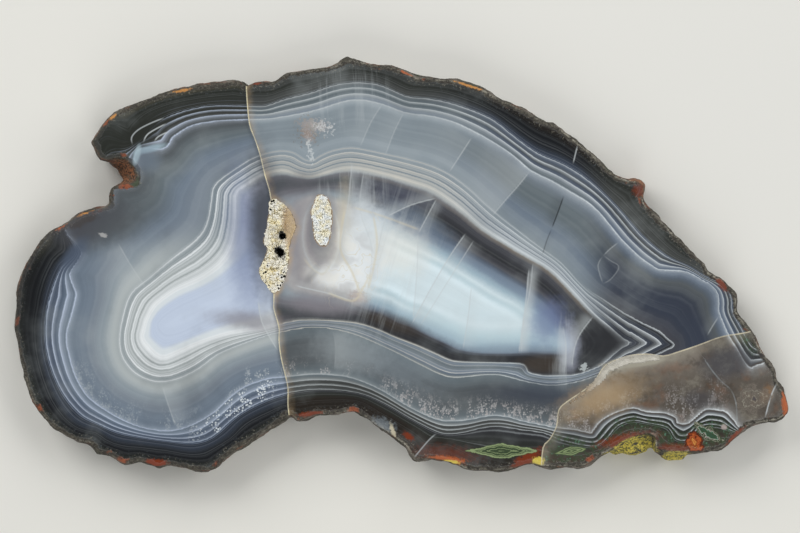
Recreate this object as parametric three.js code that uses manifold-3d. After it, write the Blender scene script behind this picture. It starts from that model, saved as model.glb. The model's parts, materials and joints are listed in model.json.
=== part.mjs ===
// Fortification agate slice: a nodule sawn through, polished on one side and lying on its sawn back.
// Millimetres, +Z up. The polished face looks up, X runs along the slice, and the origin is the
// middle of the sawn back. One stone, and two hollows in it that are each lined with quartz.

import * as THREE from 'three';
import Module from 'manifold-3d';
import { mergeVertices } from 'three/addons/utils/BufferGeometryUtils.js';
import { ImprovedNoise } from 'three/addons/math/ImprovedNoise.js';

const wasm = await Module();
wasm.setup();

// Driving dimensions.
const THICKNESS = 6;
const COLUMN_SPACING = 0.92;
const FIT_GAP = 0.3;

// Places in the lists below are measured from this point, which puts the slice's middle on the axis.
const MIDDLE = { x: -0.01, y: 0.04 };

// The edge of the polished face, clockwise from the horn above the notch: [x, y], and where the rough
// side slopes out below that edge, also how far out its foot stands: [x, y, footX, footY].
const EDGE = [
    // Horn and upper edge
    [ -46.4, 18.5 ], [ -45.6, 20.0 ], [ -43.4, 22.7 ], [ -41.6, 23.7 ], [ -38.3, 25.0 ],
    [ -34.4, 26.3 ], [ -29.1, 27.3 ], [ -24.0, 27.6 ], [ -23.3, 27.1 ], [ -21.9, 27.6 ],
    [ -19.4, 27.6 ], [ -17.1, 28.9 ], [ -14.6, 29.3 ], [ -12.3, 29.6 ], [ -9.6, 30.2 ],
    [ -8.0, 31.0 ], [ -6.3, 30.8 ], [ -4.2, 30.3 ], [ -2.1, 30.0 ], [ 0.3, 29.4 ],
    [ 2.3, 28.4 ], [ 5.4, 28.2 ], [ 8.1, 27.9 ], [ 11.9, 26.7 ], [ 14.1, 25.4 ],
    [ 16.7, 24.3 ], [ 18.9, 23.3 ], [ 20.6, 22.1 ], [ 23.7, 20.8 ], [ 26.3, 18.8 ],
    [ 28.8, 16.9 ], [ 30.9, 14.6 ], [ 32.4, 13.5 ], [ 34.2, 12.9 ], [ 35.3, 12.9 ],
    [ 36.6, 11.9 ], [ 36.3, 10.2 ], [ 37.2, 8.7 ], [ 38.8, 7.1 ], [ 40.5, 5.4 ],
    [ 42.6, 3.3 ], [ 44.3, 1.4 ], [ 45.7, 0.2 ], [ 46.1, -0.9 ], [ 48.0, -1.9 ],
    // Right end
    [ 49.3, -3.0 ], [ 50.4, -4.4 ], [ 50.6, -5.7 ], [ 50.6, -6.9 ], [ 52.0, -9.0 ],
    [ 53.0, -10.2 ], [ 53.9, -12.0 ], [ 55.4, -14.5 ], [ 56.2, -15.8 ], [ 56.7, -17.4 ],
    [ 57.5, -18.8 ], [ 58.2, -20.7 ], [ 58.1, -22.2 ], [ 57.2, -23.1 ], [ 54.2, -23.9 ],
    [ 52.2, -24.3 ], [ 50.3, -26.1 ], [ 48.5, -27.6 ], [ 45.8, -28.2 ],
    // Lower edge, where two lumps of the host rock show below the polished face
    [ 44.0, -28.2, -0.2, -0.6 ], [ 40.8, -28.1, 0.6, -0.9 ], [ 38.0, -27.5, 1.2, -1.0 ],
    [ 37.8, -25.7, 0.2, -2.0 ], [ 34.8, -26.0, 0.6, -1.9 ], [ 32.9, -26.9, 0.0, -1.4 ],
    [ 31.1, -28.2, -0.3, -0.4 ], [ 29.6, -28.9 ], [ 27.6, -30.2 ], [ 23.6, -30.6 ],
    [ 21.6, -30.4 ], [ 19.1, -30.0 ], [ 16.6, -30.8 ], [ 13.8, -31.0 ], [ 10.2, -30.9 ],
    [ 8.6, -30.2 ], [ 4.8, -29.3 ], [ 2.1, -29.3 ], [ 0.8, -27.5 ], [ -1.1, -26.0 ],
    [ -3.6, -24.3 ], [ -5.4, -23.1 ], [ -7.1, -22.2 ], [ -9.3, -22.5 ], [ -12.2, -22.5 ],
    [ -14.0, -23.0 ], [ -15.6, -23.5 ], [ -16.5, -22.7 ], [ -17.1, -22.7 ], [ -19.1, -24.5 ],
    [ -21.7, -26.0 ], [ -24.2, -27.6 ], [ -26.1, -28.8 ], [ -27.8, -30.6 ], [ -29.3, -31.1 ],
    [ -31.2, -30.9 ], [ -33.3, -30.5 ], [ -35.3, -30.2 ], [ -36.5, -30.6 ], [ -37.5, -30.2 ],
    [ -39.2, -29.6 ], [ -41.4, -30.0 ], [ -43.5, -28.8 ], [ -45.6, -28.1 ], [ -46.8, -26.9 ],
    // Round left end
    [ -48.7, -26.6 ], [ -51.9, -24.8 ], [ -53.9, -22.8 ], [ -55.5, -20.2 ], [ -56.6, -16.7 ],
    [ -57.3, -14.3 ], [ -57.9, -11.0 ], [ -58.1, -8.3 ], [ -57.9, -5.3 ], [ -57.2, -1.5 ],
    [ -55.8, 1.2 ], [ -54.2, 3.8 ], [ -52.7, 5.1 ], [ -50.6, 6.2 ], [ -48.5, 7.7 ],
    [ -45.8, 8.6 ], [ -43.7, 9.2 ], [ -44.0, 10.5 ], [ -43.7, 11.6 ],
    // Notch below the horn, whose side slopes out under the face
    [ -42.2, 12.3 ], [ -41.0, 12.4, -1.1, 0.4 ], [ -39.9, 12.6, -2.4, 0.6 ],
    [ -40.1, 14.4, -3.0, -0.3 ], [ -41.0, 15.5, -2.7, -0.6 ], [ -42.3, 16.0, -1.8, -0.7 ],
    [ -44.4, 15.6 ], [ -45.6, 16.5 ], [ -45.8, 17.4 ],
];

// The rough side from the sawn back to the polished face: height as a share of the thickness, offset
// from the edge, how strong the lumps are there, and the share of the foot's slope.
const SIDE_LEVELS = [
    { at: 0, offset: -0.15, lumps: 0.3, slope: 1 },
    { at: 0.22, offset: 0.06, lumps: 0.9, slope: 1 },
    { at: 0.45, offset: 0.12, lumps: 1, slope: 0.85 },
    { at: 0.66, offset: 0.06, lumps: 0.9, slope: 0.5 },
    { at: 0.84, offset: -0.04, lumps: 0.7, slope: 0.15 },
    { at: 0.955, offset: -0.1, lumps: 0.35, slope: 0 },
    { at: 1, offset: -0.2, lumps: 0.2, slope: 0 },
];
const LUMP_HEIGHT = 0.62;
const LUMP_SIZE = 2.7;
const GRAIN_HEIGHT = 0.22;
const GRAIN_SIZE = 1.2;
const GRAIN_SHIFT = 40;

// Lumps of host rock on the side: centre and half sizes.
const ROCK_LUMPS = [
    { at: [ 35.0, -26.9, 2.5 ], half: [ 2.9, 1.9, 2.2 ] },
    { at: [ 32.9, -27.4, 2.1 ], half: [ 1.9, 1.3, 1.7 ] },
    { at: [ 41.2, -28.5, 2.2 ], half: [ 2.1, 1.15, 1.8 ] },
    { at: [ 35.5, 11.7, 3.1 ], half: [ 1.4, 1.35, 2.6 ] },
];
const ROCK_ROUGHNESS = 0.22;
const ROCK_DETAIL = 3;
const ROCK_GRAIN = 2.3;

// The long hollow on the old crack, clockwise from its top.
const FISSURE_VUG = {
    rim: [
        [ -19.5, 9.9 ], [ -17.4, 8.9 ], [ -16.2, 7.2 ], [ -15.8, 5.7 ], [ -16.4, 4.1 ],
        [ -16.9, 2.0 ], [ -16.9, 0.9 ], [ -17.4, -1.5 ], [ -18.1, -3.2 ], [ -19.2, -4.3 ],
        [ -20.0, -3.0 ], [ -20.9, -2.1 ], [ -21.3, -0.9 ], [ -20.6, 0.6 ], [ -20.0, 2.6 ],
        [ -20.6, 3.3 ], [ -20.3, 4.7 ], [ -20.0, 6.2 ], [ -19.7, 8.6 ],
    ],
    spine: [ [ -19.2, 8.2 ], [ -18.2, 5.6 ], [ -18.7, 2.0 ], [ -19.2, -0.8 ], [ -19.2, -2.8 ] ],
    depth: 4.4,
    taper: 0.35,
};

// The small hollow beside it.
const SMALL_VUG = {
    rim: [
        [ -12.5, 10.4 ], [ -11.4, 10.2 ], [ -10.7, 9.2 ], [ -10.5, 7.2 ], [ -10.7, 4.7 ],
        [ -11.3, 2.9 ], [ -12.0, 3.0 ], [ -12.9, 4.1 ], [ -13.1, 6.2 ], [ -13.4, 8.0 ],
        [ -12.9, 9.3 ],
    ],
    spine: [ [ -12.0, 9.2 ], [ -12.0, 7.0 ], [ -11.8, 4.2 ] ],
    depth: 2.4,
    taper: 0.2,
};

// The most of the way to the spine that a hollow's ring is pulled in, and the height of the rounded
// foot of its wall, with the share of the taper that is left at the top of that foot.
const MOST_INSET = 0.7;
const FOOT_HEIGHT = 0.8;
const FOOT_TAPER = 0.4;

// The quartz lining of each hollow: how far its rim lies below the polished face, how deep its dish
// goes, the crystals' spacing, radius and length, and the open pits between them.
const FISSURE_LINING = {
    rimDrop: 0.25,
    dish: [ { scale: 0.86, drop: 0.55 }, { scale: 0.58, drop: 1.25 }, { scale: 0.3, drop: 1.6 } ],
    spacing: 0.86,
    radius: [ 0.34, 0.55 ],
    length: [ 0.75, 1.25 ],
    seed: 11,
    // The right wall stays smooth above this line, which runs from one point to the other.
    smoothWall: { from: [ -18.7, 9.6 ], to: [ -17.4, 0.6 ] },
    pits: [
        { at: [ -17.9, 4.3 ], radius: 0.55, depth: 2.9 },
        { at: [ -18.25, 1.95 ], radius: 0.7, depth: 3.3 },
    ],
};
const SMALL_LINING = {
    rimDrop: 0.2,
    dish: [ { scale: 0.8, drop: 0.5 }, { scale: 0.45, drop: 0.62 } ],
    spacing: 0.72,
    radius: [ 0.26, 0.42 ],
    length: [ 0.5, 0.72 ],
    seed: 47,
    smoothWall: null,
    pits: [],
};

// The dish of a lining is taken as an oval of these half sizes. Crystals are sunk into it by SEAT_DEPTH,
// lean by at most LEAN_ANGLE, end in a point POINT_SHARE of their radius long, and keep clear of a pit by
// PIT_MARGIN times its radius. A pit widens from its foot to its mouth by the two shares.
const DISH_HALF = { x: 2.4, y: 6.5 };
const SEAT_DEPTH = 0.3;
const LEAN_ANGLE = 0.45;
const POINT_SHARE = 0.95;
const PIT_MARGIN = 1.3;
const PIT_MOUTH = 1.35;
const PIT_FOOT = 0.6;
const PIT_SIDES = 7;
const CRYSTAL_SIDES = 6;

// Rows of crystals are this far apart in the pattern that their chance values are taken from.
const ROW_STRIDE = 31;

// The crystals' points stay this far below the polished face.
const CUT_CLEARANCE = 0.06;

// A shallow chip along the lip of the crack at the lower right: its sharp edge and its feathered edge.
const CHIP = {
    lip: [
        [ 24.2, -21.3 ], [ 26.9, -19.2 ], [ 28.8, -17.7 ], [ 29.6, -16.7 ],
        [ 30.8, -15.0 ], [ 33.8, -13.7 ], [ 36.8, -13.4 ], [ 39.2, -13.7 ],
    ],
    feather: [
        [ 24.6, -21.6 ], [ 27.5, -19.6 ], [ 29.4, -18.2 ], [ 30.5, -17.1 ],
        [ 31.5, -15.9 ], [ 33.8, -15.3 ], [ 36.3, -14.8 ], [ 38.4, -14.4 ],
    ],
    depth: 0.3,
    lipShare: 0.2,
    featherShare: 0.6,
};

const MATERIALS = {
    stone: new THREE.MeshStandardMaterial( { color: 0x6f7c88, roughness: 0.2, metalness: 0 } ),
    fissureQuartz: new THREE.MeshStandardMaterial( { color: 0xd9c58e, roughness: 0.6, metalness: 0 } ),
    smallQuartz: new THREE.MeshStandardMaterial( { color: 0xefe8d6, roughness: 0.6, metalness: 0 } ),
};

const noise = new ImprovedNoise();
const SCATTER = { i: 127.1, j: 311.7, seed: 74.7, size: 43758.5453 };

// A repeatable number from 0 to 1 for a pair of whole numbers and a seed: the fraction of a large sine.
function scatter( i, j, seed ) {

    const wave = Math.sin( i * SCATTER.i + j * SCATTER.j + seed * SCATTER.seed ) * SCATTER.size;
    return wave - Math.floor( wave );

}

// A listed place, moved so that the slice's middle is on the axis.
function place( [ x, y ] ) {

    return new THREE.Vector2( x - MIDDLE.x, y - MIDDLE.y );

}

// Points along a closed smooth curve through the listed places, counter-clockwise, each with the
// mixed value of what the places carry beside x and y.
function sampleRim( places, spacing ) {

    const listed = places.toReversed();
    const knots = listed.map( ( p ) => new THREE.Vector3( p[ 0 ] - MIDDLE.x, p[ 1 ] - MIDDLE.y, 0 ) );
    const curve = new THREE.CatmullRomCurve3( knots, true, 'centripetal' );
    const samples = [];
    knots.forEach( ( knot, i ) => {

        const next = ( i + 1 ) % knots.length;
        const steps = Math.max( 1, Math.round( knot.distanceTo( knots[ next ] ) / spacing ) );
        for ( let step = 0; step < steps; step ++ ) {

            const share = step / steps;
            const at = curve.getPoint( ( i + share ) / knots.length );
            const foot = [ 2, 3 ].map( ( c ) => THREE.MathUtils.lerp(
                listed[ i ][ c ] ?? 0, listed[ next ][ c ] ?? 0, share ) );
            samples.push( { at: new THREE.Vector2( at.x, at.y ), foot: new THREE.Vector2( ...foot ) } );

        }

    } );
    samples.forEach( ( sample, i ) => {

        const before = samples[ ( i + samples.length - 1 ) % samples.length ].at;
        const after = samples[ ( i + 1 ) % samples.length ].at;
        sample.out = new THREE.Vector2( after.y - before.y, before.x - after.x ).normalize();

    } );
    return samples;

}

// A closed solid from rings of equal length, the first one capped below and the last one above.
function loft( rings ) {

    const count = rings[ 0 ].length;
    const positions = rings.flat().flatMap( ( p ) => [ p.x, p.y, p.z ] );
    const index = [];
    for ( let level = 0; level < rings.length - 1; level ++ ) {

        for ( let i = 0; i < count; i ++ ) {

            const a = level * count + i;
            const b = level * count + ( i + 1 ) % count;
            index.push( a, b, b + count, a, b + count, a + count );

        }

    }

    const flat = ( ring ) => ring.map( ( p ) => new THREE.Vector2( p.x, p.y ) );
    const top = ( rings.length - 1 ) * count;
    for ( const [ a, b, c ] of THREE.ShapeUtils.triangulateShape( flat( rings[ 0 ] ), [] ) ) {

        index.push( a, c, b );

    }

    for ( const [ a, b, c ] of THREE.ShapeUtils.triangulateShape( flat( rings.at( - 1 ) ), [] ) ) {

        index.push( top + a, top + b, top + c );

    }

    const geometry = new THREE.BufferGeometry();
    geometry.setAttribute( 'position', new THREE.Float32BufferAttribute( positions, 3 ) );
    geometry.setIndex( index );
    return geometry;

}

// A manifold solid from a closed geometry.
function toSolid( geometry ) {

    const bare = geometry.clone();
    bare.deleteAttribute( 'normal' );
    bare.deleteAttribute( 'uv' );
    const merged = mergeVertices( bare, 1e-4 );
    const faces = [];
    for ( let i = 0; i < merged.index.count; i += 3 ) {

        const [ a, b, c ] = [ 0, 1, 2 ].map( ( corner ) => merged.index.getX( i + corner ) );
        if ( a !== b && b !== c && c !== a ) faces.push( a, b, c );

    }

    return new wasm.Manifold( new wasm.Mesh( {
        numProp: 3,
        vertProperties: new Float32Array( merged.attributes.position.array ),
        triVerts: new Uint32Array( faces ),
    } ) );

}

// A three.js geometry from a manifold solid.
function toGeometry( solid ) {

    const mesh = solid.getMesh();
    const geometry = new THREE.BufferGeometry();
    geometry.setAttribute( 'position', new THREE.BufferAttribute( mesh.vertProperties, 3 ) );
    geometry.setIndex( new THREE.BufferAttribute( mesh.triVerts, 1 ) );
    geometry.computeVertexNormals();
    return geometry;

}

// Height of the rough side's lumps and grain at a point.
function rindRelief( x, y, z ) {

    const lumps = noise.noise( x / LUMP_SIZE, y / LUMP_SIZE, z / LUMP_SIZE );
    const grain = noise.noise( x / GRAIN_SIZE + GRAIN_SHIFT, y / GRAIN_SIZE, z / GRAIN_SIZE );
    return lumps * LUMP_HEIGHT + grain * GRAIN_HEIGHT;

}

// The sawn slice with its rough side, before anything is cut from it.
function sliceBody() {

    const rim = sampleRim( EDGE, COLUMN_SPACING );
    return loft( SIDE_LEVELS.map( ( level ) => rim.map( ( { at, foot, out } ) => {

        const z = level.at * THICKNESS;
        const reach = level.offset + level.lumps * rindRelief( at.x, at.y, z );
        return new THREE.Vector3(
            at.x + out.x * reach + foot.x * level.slope,
            at.y + out.y * reach + foot.y * level.slope,
            z );

    } ) ) );

}

// A rough lump of host rock.
function rockLump( { at, half } ) {

    const geometry = new THREE.IcosahedronGeometry( 1, ROCK_DETAIL );
    const position = geometry.attributes.position;
    const size = new THREE.Vector3( ...half );
    const point = new THREE.Vector3();
    for ( let i = 0; i < position.count; i ++ ) {

        point.fromBufferAttribute( position, i );
        const grain = point.clone().multiplyScalar( ROCK_GRAIN );
        const bump = 1 + ROCK_ROUGHNESS * noise.noise( grain.x + at[ 0 ], grain.y, grain.z );
        point.multiply( size ).multiplyScalar( bump );
        position.setXYZ( i, point.x, point.y, point.z );

    }

    const centre = place( at );
    geometry.translate( centre.x, centre.y, at[ 2 ] );
    return geometry;

}

// The nearest point to a place on a line of straight stretches.
function nearestOn( line, at ) {

    const stretch = new THREE.Line3();
    const point = new THREE.Vector3( at.x, at.y, 0 );
    let best = null;
    for ( let i = 0; i < line.length - 1; i ++ ) {

        stretch.start.set( line[ i ].x, line[ i ].y, 0 );
        stretch.end.set( line[ i + 1 ].x, line[ i + 1 ].y, 0 );
        const near = stretch.closestPointToPoint( point, true, new THREE.Vector3() );
        if ( ! best || near.distanceTo( point ) < best.distanceTo( point ) ) best = near;

    }

    return best;

}

// The space of a hollow: its rim pulled in towards its spine by a margin, and by a taper at the floor.
function hollowSpace( hollow, margin, topZ ) {

    const rim = sampleRim( hollow.rim, COLUMN_SPACING );
    const spine = hollow.spine.map( place );
    const floor = THICKNESS - hollow.depth + margin;
    const ring = ( inset, z ) => rim.map( ( { at } ) => {

        const near = nearestOn( spine, at );
        const share = Math.min( inset / near.distanceTo( { x: at.x, y: at.y, z: 0 } ), MOST_INSET );
        return new THREE.Vector3(
            THREE.MathUtils.lerp( at.x, near.x, share ), THREE.MathUtils.lerp( at.y, near.y, share ), z );

    } );
    return [
        ring( margin + hollow.taper, floor ),
        ring( margin + hollow.taper * FOOT_TAPER, floor + FOOT_HEIGHT ),
        ring( margin, topZ ),
    ];

}

// One hexagonal crystal with a pointed end, standing on the origin along +Z.
function crystal( radius, length ) {

    const shoulder = length - radius * POINT_SHARE;
    const profile = [ [ 0, - radius ], [ radius, - radius ], [ radius, shoulder ], [ 0, length ] ];
    return new THREE.LatheGeometry( profile.map( ( p ) => new THREE.Vector2( ...p ) ), CRYSTAL_SIDES )
        .rotateX( Math.PI / 2 );

}

// True where a point lies inside a ring of points.
function inside( ring, x, y ) {

    let odd = false;
    ring.forEach( ( a, i ) => {

        const b = ring[ ( i + 1 ) % ring.length ];
        const crosses = ( a.y > y ) !== ( b.y > y );
        if ( crosses && x < a.x + ( y - a.y ) / ( b.y - a.y ) * ( b.x - a.x ) ) odd = ! odd;

    } );
    return odd;

}

// Which side of the line from one place to another a point is on, as a distance to its right.
function rightOf( { from, to }, x, y ) {

    const a = place( from );
    const along = place( to ).sub( a ).normalize();
    return ( y - a.y ) * along.x * - 1 + ( x - a.x ) * along.y;

}

// The quartz lining of a hollow: a dished body with crystals standing on it, cut to the hollow.
function lining( hollow, look ) {

    const top = THICKNESS - look.rimDrop;
    const outer = hollowSpace( hollow, FIT_GAP, top );
    const rim = outer.at( - 1 );
    const centre = rim.reduce( ( sum, p ) => sum.add( p ), new THREE.Vector3() ).divideScalar( rim.length );
    const dished = look.dish.map( ( { scale, drop } ) => rim.map( ( p ) => new THREE.Vector3(
        THREE.MathUtils.lerp( centre.x, p.x, scale ),
        THREE.MathUtils.lerp( centre.y, p.y, scale ),
        THICKNESS - drop ) ) );
    let body = toSolid( loft( [ ...outer, ...dished ] ) );

    for ( const pit of look.pits ) {

        const at = place( pit.at );
        const [ mouth, foot ] = [ pit.radius * PIT_MOUTH, pit.radius * PIT_FOOT ];
        const hole = new THREE.CylinderGeometry( mouth, foot, pit.depth, PIT_SIDES );
        hole.rotateX( Math.PI / 2 ).translate( at.x, at.y, THICKNESS - pit.depth / 2 );
        body = body.subtract( toSolid( hole ) );

    }

    const box = new THREE.Box3().setFromPoints( rim );
    const seat = look.dish.at( - 1 ).drop;
    const rows = Math.ceil( ( box.max.y - box.min.y ) / look.spacing );
    const columns = Math.ceil( ( box.max.x - box.min.x ) / look.spacing );
    for ( let row = 0; row <= rows; row ++ ) {

        for ( let column = 0; column <= columns; column ++ ) {

            const dice = ( k ) => scatter( row * ROW_STRIDE + k, column, look.seed );
            const x = box.min.x + ( column + 0.5 * ( row % 2 ) + 0.5 * dice( 1 ) ) * look.spacing;
            const y = box.min.y + ( row + 0.5 * dice( 2 ) ) * look.spacing;
            const onSmoothWall = look.smoothWall && rightOf( look.smoothWall, x, y ) < 0;
            const overPit = look.pits.some( ( pit ) =>
                place( pit.at ).distanceTo( { x, y } ) < pit.radius * PIT_MARGIN );
            if ( ! inside( rim, x, y ) || onSmoothWall || overPit ) continue;

            const share = Math.hypot( ( x - centre.x ) / DISH_HALF.x, ( y - centre.y ) / DISH_HALF.y );
            const drop = THREE.MathUtils.lerp( seat, look.dish[ 0 ].drop, Math.min( 1, share ) ) + SEAT_DEPTH;
            const radius = THREE.MathUtils.lerp( ...look.radius, dice( 3 ) );
            const length = THREE.MathUtils.lerp( ...look.length, dice( 4 ) );
            const [ leanX, leanY ] = [ 5, 6 ].map( ( k ) => ( dice( k ) * 2 - 1 ) * LEAN_ANGLE );
            const lean = new THREE.Euler( leanX, leanY, dice( 7 ) * Math.PI * 2 );
            const gem = crystal( radius, length );
            gem.applyMatrix4( new THREE.Matrix4().makeRotationFromEuler( lean ) );
            gem.translate( x, y, THICKNESS - drop );
            body = body.add( toSolid( gem ) );

        }

    }

    const room = toSolid( loft( hollowSpace( hollow, FIT_GAP, THICKNESS - CUT_CLEARANCE ) ) );
    return toGeometry( body.intersect( room ) );

}

// The thin space that the chip takes from the polished face.
function chipSpace() {

    const lip = CHIP.lip.map( place );
    const feather = CHIP.feather.map( place );
    const ring = ( lipShare, featherShare, z ) => [
        ...lip.map( ( p, i ) => p.clone().lerp( feather[ i ], lipShare ) ),
        ...feather.map( ( p, i ) => p.clone().lerp( lip[ i ], featherShare ) ).reverse(),
    ].reverse().map( ( p ) => new THREE.Vector3( p.x, p.y, z ) );
    return loft( [
        ring( CHIP.lipShare, CHIP.featherShare, THICKNESS - CHIP.depth ),
        ring( 0, 0, THICKNESS ),
        ring( 0, 0, THICKNESS + 1 ),
    ] );

}

// The whole stone: the slice, its rock lumps, its two hollows and the chip.
function stone() {

    let body = toSolid( sliceBody() );
    for ( const lump of ROCK_LUMPS ) body = body.add( toSolid( rockLump( lump ) ) );
    for ( const hollow of [ FISSURE_VUG, SMALL_VUG ] ) {

        body = body.subtract( toSolid( loft( hollowSpace( hollow, 0, THICKNESS + 0.5 ) ) ) );

    }

    return toGeometry( body.subtract( toSolid( chipSpace() ) ) );

}

// A named mesh.
function piece( name, geometry, material ) {

    const mesh = new THREE.Mesh( geometry, material );
    mesh.name = name;
    return mesh;

}

const slice = new THREE.Group();
slice.add( piece( 'agate_slice', stone(), MATERIALS.stone ) );
slice.add( piece( 'fissure_vug_crust', lining( FISSURE_VUG, FISSURE_LINING ), MATERIALS.fissureQuartz ) );
slice.add( piece( 'small_vug_crust', lining( SMALL_VUG, SMALL_LINING ), MATERIALS.smallQuartz ) );

export default slice;
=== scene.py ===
"""Looks of a sliced and polished fortification agate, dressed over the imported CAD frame.

The slice lies on its sawn back on a pale floor and the camera looks straight down on its polished
face. The marking of the stone is worked out from a handful of bands, drawn once as loops of points:
every vertex gets its place between two bands, and the material paints colour, lines and fine
stripes along that one value. The healed cracks are vertex values too, and pockets and stains are
small placed shader groups.
"""

from __future__ import annotations

import json
import logging
import math
import random
from dataclasses import dataclass
from enum import Enum
from functools import reduce

import bmesh
import bpy
import numpy as np
from mathutils import Matrix, Vector
from mathutils.bvhtree import BVHTree

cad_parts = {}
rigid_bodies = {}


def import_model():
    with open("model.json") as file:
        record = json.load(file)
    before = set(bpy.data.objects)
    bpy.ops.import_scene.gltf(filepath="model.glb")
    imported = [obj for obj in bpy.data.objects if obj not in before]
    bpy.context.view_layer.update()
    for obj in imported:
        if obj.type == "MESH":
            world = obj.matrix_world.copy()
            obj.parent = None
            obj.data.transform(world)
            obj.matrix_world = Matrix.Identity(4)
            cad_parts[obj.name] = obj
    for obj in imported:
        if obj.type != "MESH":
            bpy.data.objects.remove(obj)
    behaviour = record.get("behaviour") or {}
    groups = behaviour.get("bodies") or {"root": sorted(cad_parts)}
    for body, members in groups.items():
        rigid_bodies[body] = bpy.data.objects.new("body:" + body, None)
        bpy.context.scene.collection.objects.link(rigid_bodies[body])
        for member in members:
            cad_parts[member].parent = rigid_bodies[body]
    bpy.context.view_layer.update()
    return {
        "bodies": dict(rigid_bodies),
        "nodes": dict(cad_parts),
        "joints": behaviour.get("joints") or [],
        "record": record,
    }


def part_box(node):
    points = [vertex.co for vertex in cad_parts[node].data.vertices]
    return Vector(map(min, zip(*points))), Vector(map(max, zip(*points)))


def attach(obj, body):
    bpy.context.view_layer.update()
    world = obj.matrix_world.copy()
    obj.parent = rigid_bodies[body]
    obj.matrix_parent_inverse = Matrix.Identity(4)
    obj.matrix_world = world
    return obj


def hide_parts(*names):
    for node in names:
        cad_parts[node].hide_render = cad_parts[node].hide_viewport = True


LOG = logging.getLogger("agate")

Point = tuple[float, float]
Points = tuple[Point, ...]
Span = tuple[float, float]
Socket = bpy.types.NodeSocket
Value = Socket | float
Stops = tuple[tuple[float, object], ...]

MM = 0.001

# Places that are measured at once, and the least square or rise that one is divided by.
CHUNK = 4000
TINY = 1e-12
# Vertices that lie nearer than this many millimetres are one, and the steps of a vertex group's weight.
MERGE_DISTANCE = 0.001
WEIGHT_STEPS = 10
# The distance between rows of crystals, as a share of that between crystals.
ROW_SHARE = 0.87

# The drawing's unit is a pixel of the 800 x 533 picture, and its origin is the picture's top left
# corner. DRAWING_ORIGIN is the drawn point that lies on the frame's origin.
PIXEL_MM = 0.15
DRAWING_ORIGIN: Point = (400.933, 264.733)
PICTURE_WIDTH = 800
PICTURE_CENTRE: Point = (400.0, 266.5)

# The bands, from the rim inwards, each a closed loop that runs clockwise in the picture. Where a band
# runs out through the rim, its loop carries on outside the stone.
BAND_A: Points = (
    (131, 136.5), (135, 127.6), (146, 116), (161.6, 108.5), (182, 103), (207, 99), (232, 97), (265.5, 98),
    (284.6, 92), (311, 86), (332, 79), (352, 76), (371, 76.7), (385, 81), (406, 91), (421, 92), (440, 94),
    (461, 100), (492, 113), (516, 131), (538, 146), (565, 157), (590, 174), (617, 200), (634, 216),
    (655, 238), (676, 256), (694, 263), (707, 271), (726, 284), (736, 298), (737, 312), (747, 329),
    (757, 341), (768, 350), (784, 356), (793, 371), (800, 389), (803, 404), (801, 419), (790, 430),
    (765, 435), (750, 438), (734, 441), (721, 446), (705, 450), (690, 449), (672, 449), (657, 444),
    (651, 433), (632, 435), (618, 441), (606, 449), (597, 454), (583, 462), (560, 465), (540, 463),
    (511, 466), (480, 458), (450, 442), (430, 441), (416, 431), (380, 410), (356, 398.6), (320, 398),
    (290, 402), (267, 410), (244, 421.6), (228.5, 437), (205.5, 449.6), (189, 452), (166, 448),
    (140, 445), (115, 441.6), (97, 431), (87, 429), (71, 421), (55, 399.5), (42, 364), (38, 333),
    (41, 307.5), (46, 286), (56, 263), (69, 250), (62, 226), (78, 210), (96, 204), (107, 201), (104, 195),
    (106, 187), (115, 180), (103, 162), (92, 152), (88, 141), (95, 129), (110, 124), (124, 133),
)
BAND_B: Points = (
    (144, 136.5), (149, 130), (162, 119), (182, 111), (208, 105.5), (232, 105), (250, 105.5),
    (265.5, 105.5), (284.6, 98.7), (311, 92), (332, 85), (352, 82), (371, 82.7), (385, 86.3), (406, 95.5),
    (421, 97.3), (440, 100), (461, 105.8), (492, 118.6), (516, 137.3), (538, 153), (565, 164.6),
    (590, 181), (617, 206.6), (640, 234), (665, 255), (688, 266), (706, 277), (724, 284), (732, 298),
    (733, 312), (742, 328), (752, 346), (766, 352), (780, 357), (790, 372), (797, 390), (800, 404),
    (798, 417), (788, 427), (765, 432), (750, 435), (738, 433), (729, 430), (720, 426), (708, 425),
    (698, 428), (690, 440), (676, 440), (668, 428), (650, 424), (633, 421), (618, 426), (608, 438),
    (598, 446), (585, 446), (560, 440), (543, 433), (521, 430), (500, 427), (483.5, 428), (467, 432),
    (450, 434.5), (436, 431.7), (409, 418), (385, 404), (358.6, 393.5), (320, 390), (286, 394),
    (256.5, 405), (233.6, 419), (213, 437), (193, 443), (166, 441), (140, 437), (117, 432), (98, 424),
    (80, 414), (62, 392), (49.5, 363), (45, 335), (46.5, 310), (52, 289), (61.5, 267), (76, 251),
    (64, 228), (79, 212), (97, 206), (108, 202), (106, 195), (108, 188), (117, 181), (104, 161),
    (110, 152), (125, 150), (134, 145),
)
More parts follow.
